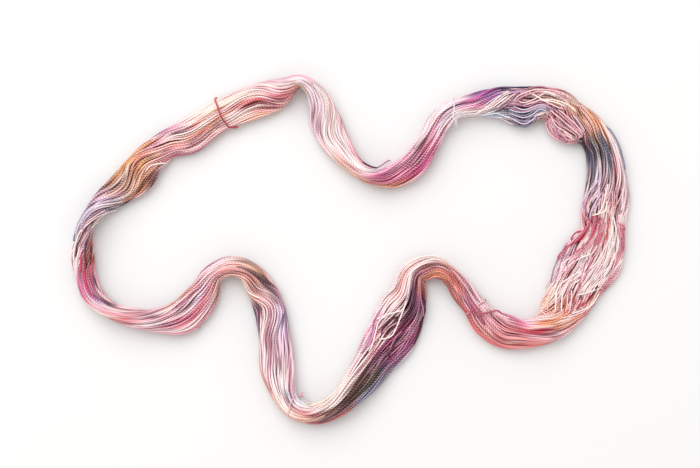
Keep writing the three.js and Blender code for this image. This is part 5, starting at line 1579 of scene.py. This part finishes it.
# one tie: its loop, its knot, and its free ends, each a tapered curve through its places with a few frayed
# fibres at the tip, which run on and bend with the square of their length
def makeTie(node, tie, material):
    rng = np.random.default_rng(tieThread["seed"] + tie["row"])
    steps = tieThread["steps"]
    loop, at, forward = tieLoop(tie, steps)
    dyeDegrees = [degrees for degrees, _ in tie["dye"]]
    dyeColours = toLight([colour for _, colour in tie["dye"]])
    dyed = np.column_stack([np.interp(at, dyeDegrees, channel) for channel in dyeColours.T])
    thick = np.full(steps, tie["radius"])
    toTip = smoothStep(np.linspace(1, 0, steps), 0, tieThread["tipShare"])
    taper = thick * (tieThread["tipRadius"] + (1 - tieThread["tipRadius"]) * toTip)
    knotPlace = loop[0] + (0, 0, tieThread["knotLift"])
    knot = tieKnot(knotPlace, tieThread["knotSize"] * tie["radius"], forward, steps)
    threads = [  # path, radius, colour, and the axis that its rings are turned to
        (loop, thick, dyed, forward),
        (knot, tieThread["knotThread"] * thick, np.tile(dyed[0], (steps, 1)), forward),
    ]
    for end in tie["ends"]:
        rows, degrees, room = np.transpose(end)
        out, high, _ = sectionPoint(tie["row"] + rows, degrees, -room)
        path = curveThrough(placeAt(tie["row"] + rows, out, np.maximum(high, tie["radius"])), steps)
        colour = np.tile(toLight(tie["endDye"]), (steps, 1))
        threads.append((path, taper, colour, upAxis))
        ahead = path[-1] - path[-4]
        ahead /= np.linalg.norm(ahead)
        for _ in range(tie["fibres"]):
            way = ahead + tieThread["fibreStray"] * rng.normal(0, 1, 3)
            bend = tieThread["fibreBend"] * rng.normal(0, 1, 3)
            length = rng.uniform(tieThread["shortestFibre"], 1)
            t = np.linspace(tieThread["fibreRoot"], length, steps)[:, None]
            fibre = path[-1] + tieThread["fibreLength"] * (way * t + bend * t * t)
            colour = 0.5 * colour + 0.5 * toLight(palette["undyed"])  # each fibre paler than the last
            threads.append((fibre, np.full(steps, tieThread["fibreRadius"]), colour, upAxis))
    paths, radii, colours, axes = (np.array(column) for column in zip(*threads))
    paths[..., 2] = np.maximum(paths[..., 2], tieThread["fibreRadius"])
    beads = beadsAlong(paths, tieThread["pitch"])
    strandPiece(node.replace("tie_", "thread_"), paths, radii, tieThread["brightness"] * colours, beads,
                material, node, about=axes[:, None, :])


# a copy of the yarn's finish for threads that lie open on top: its dye is not lifted, with its own painted
# groove and flank shade
tieFinish = dict(yarnFinish, soft=0.2, softScale=0.0008, lightness=1.0, grooveDepth=0.7, flankShade=0.4)
dyedThread = makeYarnMaterial("dyedThread", tieFinish, plyTwist)
for node, tie in ties.items():
    makeTie(node, tie, dyedThread)


# Stage, light and camera

stage = {
    "floorSize": 8.0,
    "floorColour": (0.672, 0.671, 0.669),
    "floorRoughness": 0.9,
    "floorSpecular": 0.1,
    "worldColour": (1.0, 0.965, 0.945),
    "worldStrength": 0.96,
    "keyPlace": (-0.95, 1.7, 2.6),
    "keySize": 3.4,
    "keyPower": 98.0,
    "keyColour": (0.95, 0.985, 1.0),
    "gamma": 1.08,  # lifts the shades, as in a bright, airy picture
}
camera = {
    "frameWidth": 700.0,  # millimetres across the picture at the belt of the yarn
    "lookAt": (-1, 16),  # as the route is written
    "beltHeight": 9.0,
    "lens": 85.0,
    "sensor": 36.0,
}


# a square floor, half its size to each side of the origin
def makeFloor():
    half = stage["floorSize"] / 2
    corners = [(-half, -half, 0), (half, -half, 0), (half, half, 0), (-half, half, 0)]
    mesh = bpy.data.meshes.new("floor")
    mesh.from_pydata(corners, [], [(0, 1, 2, 3)])
    material = bpy.data.materials.new("paleFloor")
    material.use_nodes = True
    feed(material.node_tree, material.node_tree.nodes["Principled BSDF"], {
        "Base Color": (*stage["floorColour"], 1),
        "Roughness": stage["floorRoughness"],
        "Specular IOR Level": stage["floorSpecular"],
    })
    mesh.materials.append(material)
    floor = bpy.data.objects.new("floor", mesh)
    bpy.context.scene.collection.objects.link(floor)


# even light from all sides, and a round lamp above that is turned to the origin
def makeLight():
    world = bpy.data.worlds.new("softRoom")
    bpy.context.scene.world = world
    world.use_nodes = True
    feed(world.node_tree, world.node_tree.nodes["Background"], {
        "Color": (*stage["worldColour"], 1),
        "Strength": stage["worldStrength"],
    })
    lamp = bpy.data.lights.new("windowLight", "AREA")
    lamp.shape = "DISK"
    lamp.size = stage["keySize"]
    lamp.energy = stage["keyPower"]
    lamp.color = stage["keyColour"]
    light = bpy.data.objects.new("windowLight", lamp)
    light.location = stage["keyPlace"]
    toSkein = -light.location
    light.rotation_euler = toSkein.to_track_quat("-Z", "Y").to_euler()
    bpy.context.scene.collection.objects.link(light)


# straight down from above the belt, by the width of the picture times lens over sensor
def makeCamera():
    data = bpy.data.cameras.new("fromAbove")
    data.sensor_fit = "HORIZONTAL"
    data.sensor_width = camera["sensor"]
    data.lens = camera["lens"]
    eye = bpy.data.objects.new("fromAbove", data)
    distance = camera["frameWidth"] * camera["lens"] / camera["sensor"]
    over = np.subtract(camera["lookAt"], form["boxMiddle"])
    eye.location = (over[0] * mm, over[1] * mm, (distance + camera["beltHeight"]) * mm)
    bpy.context.scene.collection.objects.link(eye)
    bpy.context.scene.camera = eye


makeFloor()
makeLight()
makeCamera()
bpy.context.scene.view_settings.view_transform = "Standard"
bpy.context.scene.view_settings.gamma = stage["gamma"]
print("stage, light and camera placed")
